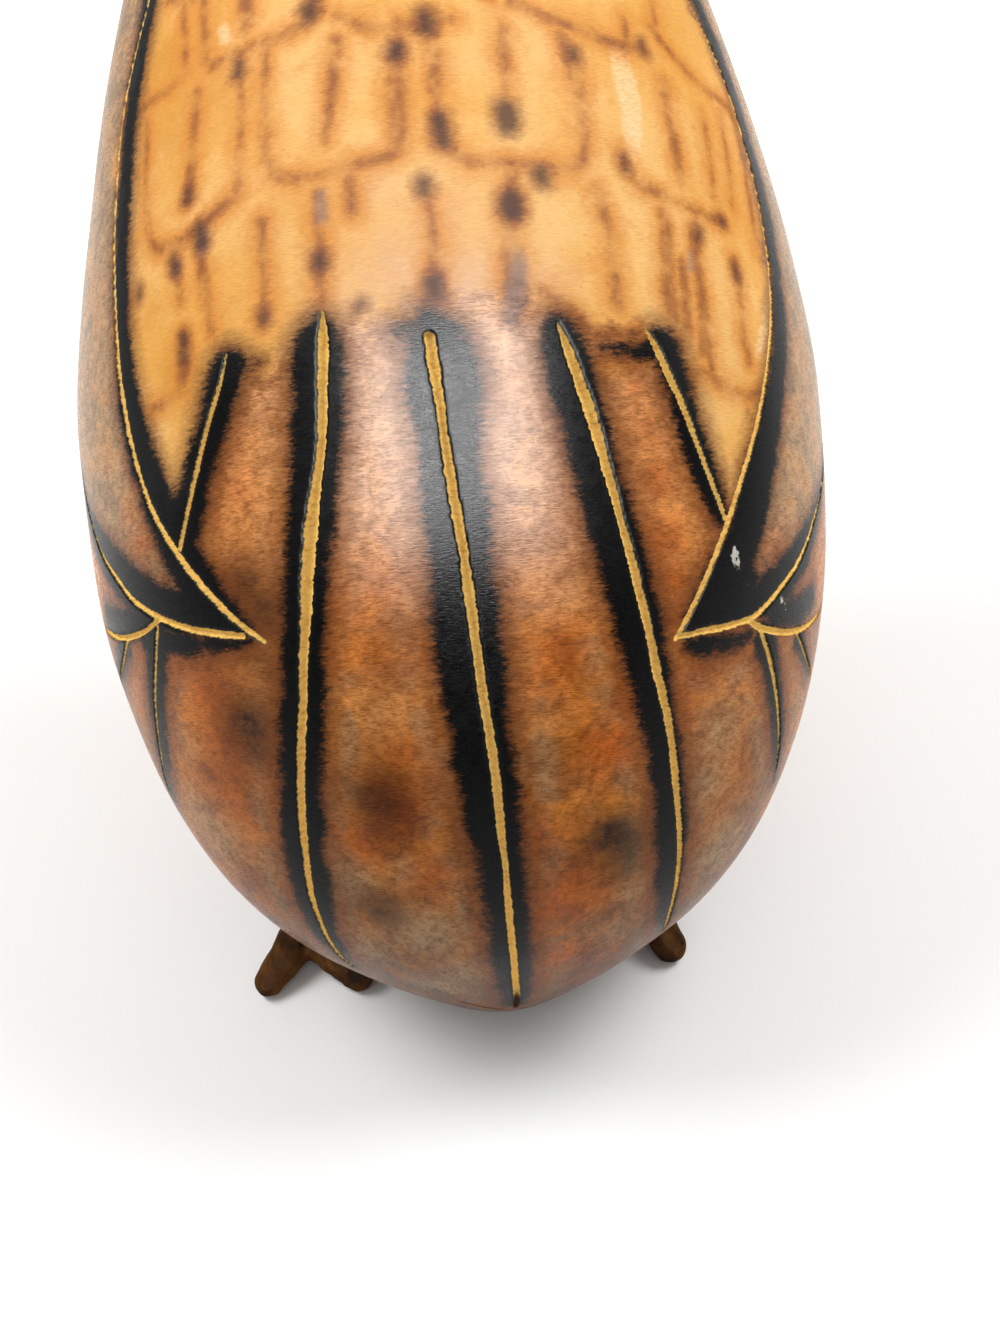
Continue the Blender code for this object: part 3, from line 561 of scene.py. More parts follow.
def grooveField(places, strokes):
    # depth of the cut in mm, and the distance to its ragged edge
    depth = np.zeros(len(places))
    edge = np.full(len(places), cutting["reach"])
    for order, points in enumerate(strokes):
        centres, half = strokeSamples(points, cutting["step"])
        half = half * cutting["width"]
        ahead = unit(np.gradient(centres, axis=0))
        run = runLength(np.linalg.norm(np.diff(centres, axis=0), axis=1))
        for block in nearBlocks(places, centres, cutting["reach"]):
            apart = places[block, None, :] - centres[None, :, :]
            distance = np.linalg.norm(apart, axis=-1)
            k = distance.argmin(axis=1)
            rows = np.arange(len(block))
            best = apart[rows, k]
            along = (best * ahead[k]).sum(axis=1)
            inside = (k > 0) & (k < len(centres) - 1)
            sideways = np.linalg.norm(best - along[:, None] * ahead[k], axis=1)
            across = np.where(inside, sideways, distance[rows, k])
            side = np.sign(np.cross(ahead[k], best)[:, 2] + 1e-9)
            width = half[k]
            for i in np.nonzero(across <= cutting["raggedWithin"])[0]:
                width[i] = raggedWidth(width[i], run[k[i]] + along[i], side[i], order)
            deep = np.clip(cutting["depth"][0] + cutting["depth"][1] * half[k], *cutting["depthLimits"])
            x = across / np.maximum(width, cutting["thinnest"])
            cut = deep * np.maximum(1 - x**2, 0) ** cutting["roundness"]
            depth[block] = np.maximum(depth[block], cut)
            edge[block] = np.minimum(edge[block], across - width)
    return depth, edge


def vertexArray(mesh, field):
    flat = np.empty(len(mesh.vertices) * 3)
    mesh.vertices.foreach_get(field, flat)
    return flat.reshape(-1, 3)


def sphereTurns(mesh):
    # where each vertex of the starting sphere lies on the gourd: station, and angle from the back
    v = unit(vertexArray(mesh, "co"))
    share = np.arccos(np.clip(v[:, 2], -1, 1)) / math.pi
    return np.interp(share * profileLength[-1], profileLength, profileStations), np.arctan2(v[:, 0], v[:, 1])


def refineNear(skin, strokes, margin):
    # subdivide once the faces that lie within margin of a stroke's edge
    mesh = skin.data
    close = strokeField(gourdPoint(*sphereTurns(mesh)) * 1000, strokes, reach=5.0, step=0.5) < margin
    picked = np.array([any(close[k] for k in face.vertices) for face in mesh.polygons])
    mesh.vertices.foreach_set("select", np.zeros(len(mesh.vertices), bool))
    mesh.edges.foreach_set("select", np.zeros(len(mesh.edges), bool))
    mesh.polygons.foreach_set("select", picked)
    bpy.ops.object.mode_set(mode="EDIT")
    bpy.ops.mesh.select_mode(type="FACE")
    bpy.ops.mesh.subdivide(number_cuts=1)
    bpy.ops.object.mode_set(mode="OBJECT")


def setAttribute(mesh, name, values):
    layer = mesh.attributes.new(name, "FLOAT", "POINT")
    layer.data.foreach_set("value", np.asarray(values, np.float32))


def formGourd(mesh, station, angle, depth):
    base = gourdPoint(station, angle)
    middle, forward, tilt = gourdAxis(station)
    normal = gourdNormal(station, angle)
    normal *= np.sign((normal * (base - middle)).sum(axis=1, keepdims=True) + 1e-15)
    ends = gourdRadius(station) < 1e-5
    normal[ends] = np.where(station[ends, None] < 0.1, -forward[ends], forward[ends])
    lumps = np.array([noise.noise(Vector(p) / body["lumpSize"]) for p in base]) * body["lump"]
    lumps -= 0.5 * body["lump"]
    # the eyes lie in shallow dishes, and the stalk that serves as a beak is ridged
    for side in (-1, 1):
        centre = gourdPoint(body["eyeStation"], side * math.radians(body["eyeAngle"]))
        away = np.linalg.norm(base - centre, axis=1) / body["eyeRadius"]
        lumps -= body["eyeDepth"] * np.clip(1 - away**2, 0, 1)
    stalk = np.clip((station - body["stalkStart"]) / body["stalkBlend"], 0, 1)
    stalk *= np.clip(gourdRadius(station) / body["stalkThick"], 0, 1)
    lumps += stalk * body["stalkRidge"] * np.sin(body["stalkRidges"] * angle + body["stalkTurn"])
    final = base + normal * (lumps - depth / 1000)[:, None]
    mesh.vertices.foreach_set("co", final.ravel())
    bpy.ops.object.mode_set(mode="EDIT")
    bpy.ops.mesh.select_all(action="SELECT")
    bpy.ops.mesh.normals_make_consistent(inside=False)
    bpy.ops.object.mode_set(mode="OBJECT")
    bpy.ops.object.shade_smooth()


def markRegions(mesh, mm, angle):
    # distances in mm to the borders of the gold and of the wings, positive inside
    degrees = np.degrees(angle)
    border = np.array(goldBorder)
    gold = mm - np.interp(degrees, border[:, 0], border[:, 1])
    lines = {}
    for name in ("wingLeftBack", "wingRightBack"):
        line = np.array(carved[name])[::-1]
        lines[name] = np.interp(mm, line[:, 0], line[:, 1])
    reach = gourdRadius(mm / 1000) * 1000 * math.pi / 180
    between = np.minimum(lines["wingLeftBack"] - degrees, degrees - lines["wingRightBack"]) * reach
    gold = np.minimum(np.minimum(gold, between), scallopEdge(angle) - mm)
    setAttribute(mesh, "goldEdge", np.clip(gold, -borderReach, borderReach))
    for name in ("wingLeftEdge", "wingRightEdge"):
        line = np.array([(abs(p[1]), p[0]) for p in carved[name] if p[0] < wingTipEnd])[::-1]
        lines[name] = np.interp(np.abs(degrees), line[:, 0], line[:, 1])
    low = np.where(degrees > 0, lines["wingLeftEdge"], lines["wingRightEdge"])
    wing = np.minimum(mm - low, -between)
    under = np.array(wingUnder)
    wing = np.minimum(wing, (np.interp(mm, under[:, 0], under[:, 1]) - np.abs(degrees)) * reach)
    wing = np.where(mm > wingEnd, -borderReach, wing)
    setAttribute(mesh, "wingEdge", np.clip(wing, -borderReach, borderReach))


def markSkin(mesh, places, mm, angle):
    for name, (strokes, reach, step) in strokeMarks.items():
        setAttribute(mesh, name, strokeField(places, strokes, reach, step))
    markRegions(mesh, mm, angle)
    for name, spots in patches.items():
        total = np.zeros(len(mm))
        for s, a, radius, strength in spots:
            away = np.linalg.norm(places - skinPlace(s, a), axis=1) / radius
            total = np.maximum(total, strength * np.exp(-away**2 * 1.1))
        setAttribute(mesh, name, total)
    chipGap = np.full(len(mm), chipReach)
    for s, a, radius in chips:
        chipGap = np.minimum(chipGap, np.linalg.norm(places - skinPlace(s, a), axis=1) - radius)
    setAttribute(mesh, "chipEdge", chipGap)
    setAttribute(mesh, "flank", np.abs(np.degrees(angle)))
    setAttribute(mesh, "fromTail", mm)
    # the skin unrolled on to a plain drum, for textures that run round and along the gourd
    drum = np.max(body["radii"]) * 1000
    unrolled = mesh.attributes.new("unrolled", "FLOAT_VECTOR", "POINT")
    length = np.interp(mm / 1000, profileStations, profileLength) * 1000
    around = np.stack([drum * np.cos(angle), drum * np.sin(angle), length], axis=-1)
    unrolled.data.foreach_set("vector", around.astype(np.float32).ravel())


def makeGourd():
    bpy.ops.object.select_all(action="DESELECT")
    bpy.ops.mesh.primitive_uv_sphere_add(segments=body["segments"], ring_count=body["rings"], radius=0.05,
                                         calc_uvs=False)
    skin = bpy.context.object
    skin.name = "gourd_carved"
    drawn = feathered + dashed + dotted
    for margin, others in zip(body["refine"], (drawn, drawn, cracks)):
        refineNear(skin, [*carved.values(), *others], margin)
    mesh = skin.data
    mesh.calc_loop_triangles()
    print("gourd mesh refined:", len(mesh.loop_triangles), "triangles")
    station, angle = sphereTurns(mesh)
    places = gourdPoint(station, angle) * 1000
    depth, edge = grooveField(places, carved.values())
    formGourd(mesh, station, angle, depth)
    setAttribute(mesh, "cutEdge", edge)
    markSkin(mesh, places, station * 1000, angle)
    return skin


gourd = makeGourd()
print("gourd carved")


# the gourd's skin
skinLook = {
    # base tones from the tail tip upwards: (mm from the tail tip, colour)
    "tones": [
        (0, (0.12, 0.037, 0.006)), (10, (0.20, 0.059, 0.007)), (22, (0.33, 0.106, 0.011)), (32, (0.42, 0.143, 0.017)),
        (43, (0.53, 0.184, 0.027)), (55, (0.60, 0.215, 0.042)), (68, (0.64, 0.270, 0.082)), (80, (0.61, 0.290, 0.120)),
        (105, (0.58, 0.240, 0.075)), (150, (0.47, 0.165, 0.042)), (185, (0.36, 0.115, 0.028)),
        (225, (0.24, 0.075, 0.020)),
    ],
    "ashTones": [
        (0, (0.20, 0.150, 0.092)), (20, (0.31, 0.222, 0.132)), (35, (0.41, 0.262, 0.142)), (45, (0.50, 0.295, 0.150)),
        (60, (0.60, 0.340, 0.178)), (82, (0.63, 0.365, 0.212)), (110, (0.60, 0.330, 0.170)),
        (150, (0.47, 0.240, 0.110)), (225, (0.30, 0.150, 0.070)),
    ],
    "tonesTop": 250.0,
    "amber": (0.41, 0.088, 0.006),
    "smoke": (0.026, 0.012, 0.005),
    "umber": (0.20, 0.062, 0.014),
    "flankShade": (0.80, 0.77, 0.76),
    # pale rose for the middle of the rump: partly the skin's own rosy tone, partly a painted sheen
    "blushAndSheen": (0.86, 0.570, 0.435),
    "gold": (0.71, 0.355, 0.078),
    "paleGold": (0.77, 0.445, 0.155),
    "redGold": (0.62, 0.240, 0.045),
    "ochre": (0.58, 0.250, 0.034),
    # the wings' ground: partly their own beige-brown, partly a painted sheen that makes them paler
    "rose": (0.68, 0.415, 0.265),
    "wing": (0.40, 0.265, 0.152),
    "wingBrown": (0.41, 0.200, 0.080),
    "singe": (0.15, 0.045, 0.012),
    "char": (0.0012, 0.0011, 0.0012),
    "line": (0.20, 0.055, 0.020),
    "lineGlow": (0.60, 0.215, 0.028),
    "dot": (0.050, 0.022, 0.016),
    "bluish": (0.22, 0.165, 0.150),
    "pale": (0.80, 0.560, 0.290),
    "cutWood": (0.96, 0.62, 0.150),
    "cutDark": (0.72, 0.34, 0.050),
    "chip": (0.60, 0.57, 0.50),
    "head": (0.30, 0.095, 0.022),
    "stalk": (0.085, 0.042, 0.018),
    "stalkPale": (0.26, 0.150, 0.070),
    "scar": (0.060, 0.026, 0.010),
    # the grain multiplies the skin by a tone between two
    "coarse": ((0.48, 0.40, 0.32), (1.24, 1.23, 1.18)),
    "coarseStreak": (0.50, 0.36, 0.26),
    "coarseMottle": ((0.70, 0.64, 0.58), (1.14, 1.13, 1.08)),
    "faint": ((0.93, 0.90, 0.84), (1.04, 1.05, 1.08)),
    "roughness": 0.27,
    "goldRoughness": 0.50,
    "headRoughness": 0.80,
    "ior": 1.18,
    # bump: (strength, distance in metres)
    "fibreBump": (0.6, 0.00007),
    "toolBump": (0.9, 0.00035),
}
# noises over the unrolled skin, x and y round it and z along: (scale, shift, detail, roughness, distortion)
skinNoises = {
    "fibre": ((0.55, 0.55, 2.6), (0, 0, 0), 5, 0.65),
    "fineFibre": ((1.6, 1.6, 5.5), (7, 3, 1), 3, 0.6),
    "mottle": ((0.16, 0.16, 0.20), (2, 9, 4), 5, 0.6, 0.6),
    "cloud": ((0.055, 0.055, 0.06), (11, 4, 6), 3, 0.55, 0.4),
    "speckle": ((1.1, 1.1, 1.3), (1, 5, 2), 4, 0.7),
    "curdle": ((0.62, 0.62, 0.85), (4, 6, 9), 6, 0.68, 0.5),
    "fuzz": ((1.1, 1.1, 8.0), (9, 2, 5), 3, 0.6, 0.2),
    "stalkGrain": ((0.17, 0.17, 0.06), (8, 1, 7), 4, 0.6),
    "press": ((0.26, 0.26, 0.26), (5, 8, 3), 3, 0.55),
    "streaks": ((0.38, 0.38, 2.2), (6, 6, 2), 4, 0.6, 0.3),
    "tool": ((1.4, 1.4, 2.4), (3, 3, 3), 5, 0.7),
}


class Nodes:
    # short calls for wiring a material
    def __init__(self, name):
        self.material = bpy.data.materials.new(name)
        self.material.use_nodes = True
        self.tree = self.material.node_tree
        self.shader = self.tree.nodes["Principled BSDF"]

    def add(self, kind, **settings):
        node = self.tree.nodes.new(kind)
        for key, value in settings.items():
            setattr(node, key, value)
        return node

    def put(self, socket, value):
        if isinstance(value, bpy.types.NodeSocket):
            self.tree.links.new(value, socket)
        elif isinstance(value, tuple) and len(value) == 3 and socket.type == "RGBA":
            socket.default_value = (*value, 1)
        else:
            socket.default_value = value

    def attribute(self, name, vector=False):
        node = self.add("ShaderNodeAttribute", attribute_name=name)
        return node.outputs["Vector" if vector else "Fac"]

    def math(self, operation, a, b, clamp=False):
        node = self.add("ShaderNodeMath", operation=operation, use_clamp=clamp)
        self.put(node.inputs[0], a)
        self.put(node.inputs[1], b)
        return node.outputs[0]

    def times(self, first, *others):
        for other in others:
            first = self.math("MULTIPLY", first, other)
        return first

    def plus(self, first, *others):
        for other in others:
            first = self.math("ADD", first, other)
        return first

    def sway(self, grain, amount):
        # a noise as a push of up to half the amount either way
        return self.times(self.math("SUBTRACT", grain, 0.5), amount)

    def ramp(self, value, low, high, toLow=0.0, toHigh=1.0):
        node = self.add("ShaderNodeMapRange", interpolation_type="SMOOTHSTEP")
        self.put(node.inputs["Value"], value)
        self.put(node.inputs["From Min"], low)
        self.put(node.inputs["From Max"], high)
        self.put(node.inputs["To Min"], toLow)
        self.put(node.inputs["To Max"], toHigh)
        return node.outputs["Result"]

    def tones(self, value, stops, top):
        node = self.add("ShaderNodeValToRGB")
        self.put(node.inputs["Fac"], self.math("DIVIDE", value, top))
        ramp = node.color_ramp
        # a new ramp starts with two stops, which become the first and the last
        for spot, (at, colour) in ((ramp.elements[0], stops[0]), (ramp.elements[1], stops[-1])):
            spot.position = at / top
            spot.color = (*colour, 1)
        for at, colour in stops[1:-1]:
            ramp.elements.new(at / top).color = (*colour, 1)
        return node.outputs["Color"]

    def mix(self, factor, a, b, blend="MIX"):
        node = self.add("ShaderNodeMix", data_type="RGBA", blend_type=blend)
        self.put(node.inputs[0], factor)
        self.put(node.inputs[6], a)
        self.put(node.inputs[7], b)
        return node.outputs[2]

    def over(self, base, colour, *cover):
        # a colour laid over another, as far as all the covers reach
        return self.mix(self.times(*cover), base, colour)

    def noise(self, place, scale, shift, detail, roughness, distortion=0.0):
        mapping = self.add("ShaderNodeMapping")
        self.put(mapping.inputs["Vector"], place)
        mapping.inputs["Scale"].default_value = scale
        mapping.inputs["Location"].default_value = shift
        node = self.add("ShaderNodeTexNoise")
        self.put(node.inputs["Vector"], mapping.outputs["Vector"])
        node.inputs["Scale"].default_value = 1.0
        node.inputs["Detail"].default_value = detail
        node.inputs["Roughness"].default_value = roughness
        node.inputs["Distortion"].default_value = distortion
        return node.outputs["Fac"]

    def bump(self, height, strength, distance, normal=None):
        node = self.add("ShaderNodeBump")
        self.put(node.inputs["Height"], height)
        node.inputs["Strength"].default_value = strength
        node.inputs["Distance"].default_value = distance
        if normal is not None:
            self.put(node.inputs["Normal"], normal)
        return node.outputs["Normal"]


def tailSkin(n, t, burnGap, height, smoke):
    # the smoked skin of the tail and the flanks
    look = skinLook
    fromTail = n.attribute("fromTail")
    flank = n.attribute("flank")
    skin = n.tones(height, look["tones"], look["tonesTop"])
    # heat has bleached a strip beside each band
    strip = n.times(n.ramp(burnGap, 0.8, 2.2), n.ramp(burnGap, 6.0, 2.8), n.ramp(t["mottle"], 0.60, 0.42, 0.15, 0.70),
                    n.ramp(fromTail, 62.0, 44.0, 0.45, 1.0))
    bleached = n.math("MAXIMUM", strip, n.times(n.ramp(t["cloud"], 0.54, 0.70), 0.35))
    ash = n.times(n.attribute("ash"), n.ramp(t["curdle"], 0.30, 0.60, 0.65, 1.0))
    skin = n.over(skin, n.tones(fromTail, look["ashTones"], look["tonesTop"]), n.math("MAXIMUM", bleached, ash))
    skin = n.over(skin, look["amber"], n.attribute("amber"), n.ramp(t["curdle"], 0.25, 0.58, 0.60, 1.0))
    skin = n.over(skin, look["umber"], n.ramp(burnGap, 4.2, 0.6), n.ramp(t["mottle"], 0.44, 0.62), 0.75)
    # the flanks below the wings are darker, and the middle of the rump is paler and rosier: partly the skin's own rosy
    # tone, partly a painted sheen where the lamp's highlight lies
    shaded = n.mix(1.0, skin, look["flankShade"], "MULTIPLY")
    skin = n.over(skin, shaded, n.ramp(flank, 18.0, 38.0), n.ramp(fromTail, 66.0, 54.0))
    skin = n.over(skin, look["blushAndSheen"], n.ramp(flank, 19.0, 9.0), n.ramp(fromTail, 50.0, 70.0),
                  n.ramp(t["mottle"], 0.62, 0.42, 0.45, 0.85))
    skin = n.over(skin, look["smoke"], smoke)
    # the wings' ground carries a painted sheen besides its own tone
    wing = n.over(look["wing"], look["wingBrown"], n.ramp(t["mottle"], 0.40, 0.66, 0.0, 0.85))
    wing = n.over(wing, look["amber"], n.attribute("amber"), 0.85)
    wing = n.over(wing, look["smoke"], smoke)
    return n.over(skin, wing, n.ramp(n.attribute("wingEdge"), -0.3, 0.3))


def goldSkin(n, t):
    # the golden ground under the feathers
    look = skinLook
    gold = n.over(look["gold"], look["paleGold"], n.ramp(t["cloud"], 0.40, 0.62))
    gold = n.over(gold, look["redGold"], n.ramp(t["mottle"], 0.50, 0.78, 0.0, 0.50))
    gold = n.over(gold, look["ochre"], n.attribute("ochre"), n.ramp(t["mottle"], 0.36, 0.60, 0.55, 1.0))
    gold = n.over(gold, look["rose"], n.attribute("rose"), n.ramp(t["curdle"], 0.28, 0.60, 0.55, 1.0))
    strap = n.ramp(n.plus(n.attribute("paleEdge"), n.sway(t["curdle"], 1.6)), 0.45, -0.35)
    return n.over(gold, look["pale"], strap, n.ramp(t["fuzz"], 0.30, 0.60, 0.30, 0.85))


def headSkin(n, t, skin, height):
    # the head is toasted, the stalk is bare wood, and the tail tip has a small dark scar
    look = skinLook
    fromTail = n.attribute("fromTail")
    skin = n.over(skin, look["head"], n.ramp(height, 172.0, 208.0), n.ramp(t["curdle"], 0.30, 0.60, 0.55, 0.9))
    stalk = n.over(look["stalk"], look["stalkPale"], n.ramp(t["stalkGrain"], 0.40, 0.66))
    skin = n.over(skin, stalk, n.ramp(n.plus(fromTail, n.sway(t["curdle"], 9.0)), 220.0, 226.0))
    return n.over(skin, look["scar"], n.ramp(n.plus(fromTail, n.sway(t["curdle"], 1.0)), 1.7, 0.9, 0.0, 0.85))


def drawnLines(n, t, skin):
    # lines drawn with a hot point: a dark core in an orange glow, uneven and soft
    look = skinLook
    wobble = n.plus(n.sway(t["curdle"], 1.1), n.sway(t["fuzz"], 0.9))
    drawn = n.plus(n.math("MINIMUM", n.attribute("featherEdge"), n.attribute("dashEdge")), wobble)
    skin = n.over(skin, look["lineGlow"], n.ramp(drawn, 2.7, -0.1), n.ramp(t["press"], 0.30, 0.60, 0.42, 0.82))
    skin = n.over(skin, look["line"], n.ramp(drawn, 0.75, -0.60), n.ramp(t["press"], 0.34, 0.64, 0.20, 0.76))
    blot = n.plus(n.attribute("bluishEdge"), wobble)
    skin = n.over(skin, look["bluish"], n.ramp(blot, 0.9, -0.9), 0.72)
    dotGap = n.plus(n.attribute("dotEdge"), wobble)
    skin = n.over(skin, look["line"], n.ramp(dotGap, 1.5, 0.0), 0.5)
    return n.over(skin, look["dot"], n.ramp(dotGap, 0.60, -0.85), 0.80)


def skinGrain(n, t, skin, grain, goldEdge, inGold):
    # grain over everything but the burn: coarse on the tail, faint in the gold
    look = skinLook
    coarse = n.mix(n.ramp(grain, 0.32, 0.64), *look["coarse"])
    coarse = n.over(coarse, look["coarseStreak"], n.ramp(t["streaks"], 0.54, 0.70, 0.0, 0.45))
    coarse = n.mix(1.0, coarse, n.mix(n.ramp(t["mottle"], 0.34, 0.62), *look["coarseMottle"]), "MULTIPLY")
    faint = n.mix(n.ramp(t["fuzz"], 0.32, 0.66), *look["faint"])
    skin = n.mix(1.0, skin, n.mix(inGold, coarse, faint), "MULTIPLY")
    skin = n.over(skin, look["umber"], n.ramp(t["speckle"], 0.63, 0.72), n.ramp(goldEdge, 2.0, -1.0, 0.25, 0.75))
    crack = n.ramp(n.attribute("crackEdge"), 0.14, -0.04)
    return n.over(skin, look["smoke"], crack, n.ramp(t["curdle"], 0.40, 0.55), 0.8)


def gourdSkinMaterial():
    n = Nodes("gourd_skin_carved")
    look = skinLook
    spot = n.attribute("unrolled", vector=True)
    fromTail = n.attribute("fromTail")
    t = {name: n.noise(spot, *values) for name, values in skinNoises.items()}
    # how far outside the burnt bands, with furry edges that follow the fibres
    fur = n.plus(n.sway(t["fibre"], 2.0), n.sway(t["fineFibre"], 1.8), n.sway(t["mottle"], 2.6))
    burnGap = n.plus(n.attribute("burnEdge"), fur)
    height = n.plus(fromTail, n.sway(t["mottle"], 30.0))
    smoke = n.math("MULTIPLY", n.attribute("smoke"), n.ramp(t["curdle"], 0.28, 0.62, 0.70, 1.2), clamp=True)
    goldEdge = n.plus(n.attribute("goldEdge"), n.sway(t["mottle"], 9.0))
    inGold = n.ramp(goldEdge, 0.0, 3.0)
    grain = n.plus(n.times(t["fuzz"], 0.5), n.times(t["curdle"], 0.5))

    skin = tailSkin(n, t, burnGap, height, smoke)
    skin = n.over(skin, goldSkin(n, t), n.ramp(goldEdge, -1.8, 2.2))
    skin = headSkin(n, t, skin, height)
    skin = drawnLines(n, t, skin)
    skin = skinGrain(n, t, skin, grain, goldEdge, inGold)
    skin = n.over(skin, look["singe"], n.ramp(burnGap, 3.0, 0.1), n.ramp(t["mottle"], 0.36, 0.60, 0.50, 0.85))
    skin = n.over(skin, look["char"], n.ramp(burnGap, 0.80, -0.65))
    chipGap = n.plus(n.attribute("chipEdge"), n.sway(t["speckle"], 1.6))
    skin = n.over(skin, look["chip"], n.ramp(chipGap, 0.10, -0.06), 0.8)
    # raw wood in the cuts
    raw = n.over(look["cutDark"], look["cutWood"], n.ramp(t["tool"], 0.28, 0.56))
    raw = n.over(raw, look["scar"], n.ramp(fromTail, 6.5, 4.0))
    cutGap = n.plus(n.attribute("cutEdge"), n.sway(t["speckle"], 0.22))
    cut = n.ramp(cutGap, 0.07, -0.05)
    n.put(n.shader.inputs["Base Color"], n.over(skin, raw, cut))

    rough = n.ramp(grain, 0.3, 0.7, look["roughness"] - 0.05, look["roughness"] + 0.07)
    rough = n.plus(rough, n.times(inGold, look["goldRoughness"] - look["roughness"]))
    rough = n.plus(rough, n.ramp(cutGap, 0.60, 0.10, 0.0, 0.12))
    rough = n.math("ADD", rough, n.times(cut, 0.40), clamp=True)
    rough = n.math("MAXIMUM", rough, n.ramp(fromTail, 140.0, 195.0, 0.0, look["headRoughness"]))
    n.put(n.shader.inputs["Roughness"], rough)
    n.shader.inputs["IOR"].default_value = look["ior"]
    relief = n.plus(n.times(t["fineFibre"], 0.4), n.times(t["fuzz"], 0.6))
    normal = n.bump(relief, *look["fibreBump"])
    n.put(n.shader.inputs["Normal"], n.bump(n.times(t["tool"], cut), *look["toolBump"], normal))
    return n.material


gourd.data.materials.append(gourdSkinMaterial())
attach(gourd, "root")
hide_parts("gourd")
print("gourd finished")


# the feet: forked twigs, the same named values as their solids
feet = {
    "x": 0.026,
    "y": -0.040,
    "postRadius": 0.0040,
    "postSlack": 0.0002,
    "postBase": 0.0045,
    "postTop": 0.0172,
    "rightTurn": 20.0,
    "tip": {"left": 0.0021, "right": 0.0025},
    "reach": {"left": 1.0, "right": 0.62},
    "inward": {"left": 0.0008, "right": 0.0014},
    "drop": 0.0003,
    "sides": 24,
    "ringStep": 0.0009,
    "endTurns": [20, 40, 60, 80],
    "weld": 0.00002,
    "voxel": 0.00036,
    "softenFactor": 0.6,
    "softenSteps": 12,
    "bark": 0.00022,
    "knotSize": 0.0065,
    "knot": 1.5,
    "wrinkleSize": (0.0011, 0.0034, 0.0011),
    "wrinkle": 0.7,
    "socketHeight": 0.009,
    "socketBark": 0.2,
}


def footTwigs(tip, reach, inward):
    # (x, y, z, radius) from the post, for a left foot
    low = tip - feet["drop"]
    return {
        "heel": [(0, 0.0, 0.0050, 0.0039), (0.0026, 0.012, 0.0039, 0.0030), (0.0033, 0.0212, 0.0034, 0.0028)],
        "rearOuter": [(0.0026, 0.0185, 0.0038, 0.0030), (0.0060 - 0.4 * inward, 0.0245, 0.0030, 0.0026),
                      (0.0089 - inward, 0.0272, low, tip)],
        "rearInner": [(0.0036, 0.0185, 0.0038, 0.0028),
                      (0.0036 - 0.0048 * reach, 0.0185 + 0.0063 * reach, 0.0028, 0.0023),
                      (0.0036 - 0.0085 * reach, 0.0185 + 0.0095 * reach, low, tip)],
        "shin": [(0, 0.0, 0.0052, 0.0040), (-0.0006, -0.010, 0.0048, 0.0036), (-0.0010, -0.0180, 0.0042, 0.0034)],
        "frontOuter": [(-0.0016, -0.0150, 0.0044, 0.0034), (0.0044, -0.0250, 0.0034, 0.0027),
                       (0.0078, -0.0335, low, tip)],
        "frontInner": [(-0.0006, -0.0150, 0.0044, 0.0034), (-0.0062, -0.0250, 0.0034, 0.0027),
                       (-0.0098, -0.0345, low, tip)],
    }


def roundEnd(place, ahead, radius, way):
    turns = [math.radians(b) for b in feet["endTurns"]]
    return [(place + way * ahead * radius * math.sin(b), ahead, radius * math.cos(b)) for b in turns]


def twigPiece(name, points):
    # a tapered twig: a grid rolled up and moved on to the twig's line, ring by ring
    p = np.array(points, float)
    knots = runLength(np.linalg.norm(np.diff(p[:, :3], axis=0), axis=1))
    count = max(6, round(knots[-1] / feet["ringStep"]))
    at = np.linspace(0, knots[-1], count + 1)
    line = np.stack([hermite(knots, p[:, k], slopes(knots, p[:, k]), at) for k in range(4)], axis=-1)
    ahead = unit(np.gradient(line[:, :3], axis=0))
    rings = roundEnd(line[0, :3], ahead[0], line[0, 3], -1)[::-1]
    rings += [(q[:3], a, q[3]) for q, a in zip(line, ahead)]
    rings += roundEnd(line[-1, :3], ahead[-1], line[-1, 3], 1)
    bpy.ops.object.select_all(action="DESELECT")
    bpy.ops.mesh.primitive_grid_add(x_subdivisions=feet["sides"], y_subdivisions=len(rings) - 1, size=2)
    piece = bpy.context.object
    piece.name = name
    grid = vertexArray(piece.data, "co")
    turn = (grid[:, 0] + 1) * math.pi
    row = np.rint((grid[:, 1] + 1) / 2 * (len(rings) - 1)).astype(int)
    out = np.empty_like(grid)
    for i in range(len(grid)):
        centre, forward, radius = rings[row[i]]
        across = unit(np.cross(forward, (0, 0, 1.0)))
        up = np.cross(across, forward)
        out[i] = centre + radius * (math.cos(turn[i]) * across + math.sin(turn[i]) * up)
    piece.data.vertices.foreach_set("co", out.ravel())
    bpy.ops.object.mode_set(mode="EDIT")
    bpy.ops.mesh.select_all(action="SELECT")
    bpy.ops.mesh.remove_doubles(threshold=feet["weld"])
    bpy.ops.object.mode_set(mode="OBJECT")
    return piece


def capRings(piece):
    bm = bmesh.new()
    bm.from_mesh(piece.data)
    bmesh.ops.holes_fill(bm, edges=[e for e in bm.edges if e.is_boundary], sides=0)
    bmesh.ops.recalc_face_normals(bm, faces=bm.faces)
    bm.to_mesh(piece.data)
    bm.free()


def roughenBark(mesh, sign):
    # shallow knots and wrinkles, faded inside the socket
    co, normals = vertexArray(mesh, "co"), vertexArray(mesh, "normal")
    shift = np.empty(len(co))
    for i, p in enumerate(co):
        q = Vector(p)
        knot = noise.noise(q / feet["knotSize"] + Vector((4.0, sign, 2.0)))
        wrinkle = noise.noise(Vector([c / size for c, size in zip(q, feet["wrinkleSize"])]))
        fade = 1.0 if q.z < feet["socketHeight"] else feet["socketBark"]
        shift[i] = feet["bark"] * (feet["knot"] * knot + feet["wrinkle"] * wrinkle) * fade
    co = co + normals * shift[:, None]
    co[:, 2] = np.maximum(co[:, 2], 0.0)
    mesh.vertices.foreach_set("co", co.ravel())
    mesh.update()


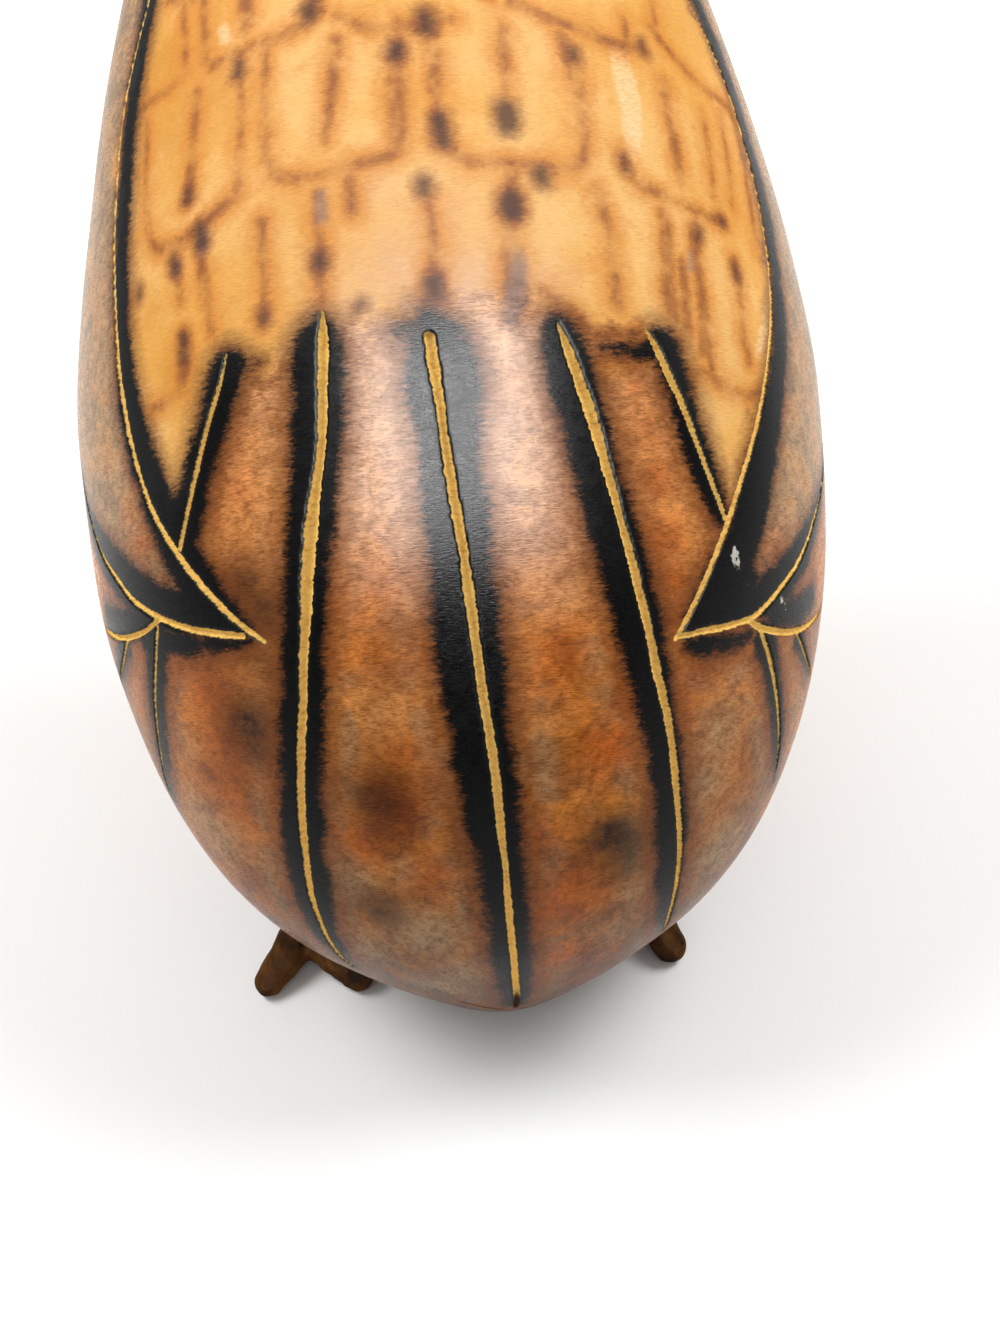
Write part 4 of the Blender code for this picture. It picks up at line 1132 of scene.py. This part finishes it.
def makeFoot(side):
    sign = 1 if side == "left" else -1
    turn = 0.0 if side == "left" else math.radians(feet["rightTurn"])
    c, s = math.cos(turn), math.sin(turn)
    x0, y0 = feet["x"], body["tailY"] + feet["y"]
    pieces = []
    for twig, points in footTwigs(feet["tip"][side], feet["reach"][side], feet["inward"][side]).items():
        placed = [(sign * (x0 + x * c - y * s), y0 + x * s + y * c, z, r) for x, y, z, r in points]
        pieces.append(twigPiece(f"{side}_{twig}", placed))
    height = feet["postTop"] - feet["postBase"]
    bpy.ops.object.select_all(action="DESELECT")
    bpy.ops.mesh.primitive_cylinder_add(vertices=32, radius=feet["postRadius"] - feet["postSlack"], depth=height,
                                        location=(sign * x0, y0, feet["postBase"] + height / 2))
    pieces.append(bpy.context.object)
    for piece in pieces:
        capRings(piece)
        piece.select_set(True)
    bpy.context.view_layer.objects.active = pieces[0]
    bpy.ops.object.join()
    foot = bpy.context.object
    foot.name = "foot_" + side + "_twig"
    bpy.ops.object.transform_apply(location=True, rotation=True, scale=True)
    remesh = foot.modifiers.new("skin", "REMESH")
    remesh.mode = "VOXEL"
    remesh.voxel_size = feet["voxel"]
    bpy.ops.object.modifier_apply(modifier=remesh.name)
    smooth = foot.modifiers.new("soften", "SMOOTH")
    smooth.factor = feet["softenFactor"]
    smooth.iterations = feet["softenSteps"]
    bpy.ops.object.modifier_apply(modifier=smooth.name)
    roughenBark(foot.data, sign)
    bpy.ops.object.shade_smooth()
    return foot


footLook = {
    "dark": (0.016, 0.007, 0.002),
    "brown": (0.100, 0.038, 0.008),
    "worn": (0.15, 0.070, 0.022),
    # (scale, shift, detail, roughness, distortion)
    "grain": ((700, 160, 700), (0, 0, 0), 5, 0.6, 0.3),
    "patch": ((170, 120, 170), (3, 1, 5), 4, 0.6),
    "roughness": (0.58, 0.80),
    "ior": 1.09,
    "bump": (0.5, 0.0003),
}


def footMaterial():
    n = Nodes("foot_twig_wood")
    place = n.add("ShaderNodeTexCoord").outputs["Object"]
    grain, patch = n.noise(place, *footLook["grain"]), n.noise(place, *footLook["patch"])
    tone = n.over(footLook["dark"], footLook["brown"], n.ramp(patch, 0.36, 0.62))
    tone = n.over(tone, footLook["worn"], n.ramp(grain, 0.50, 0.72), 0.55)
    n.put(n.shader.inputs["Base Color"], tone)
    n.put(n.shader.inputs["Roughness"], n.ramp(grain, 0.3, 0.7, *footLook["roughness"]))
    n.shader.inputs["IOR"].default_value = footLook["ior"]
    n.put(n.shader.inputs["Normal"], n.bump(grain, *footLook["bump"]))
    return n.material


footWood = footMaterial()
for side in ("left", "right"):
    foot = makeFoot(side)
    foot.data.materials.clear()
    foot.data.materials.append(footWood)
    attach(foot, "root")
    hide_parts("foot_" + side)
    print("foot", side, "made:", len(foot.data.polygons), "faces")
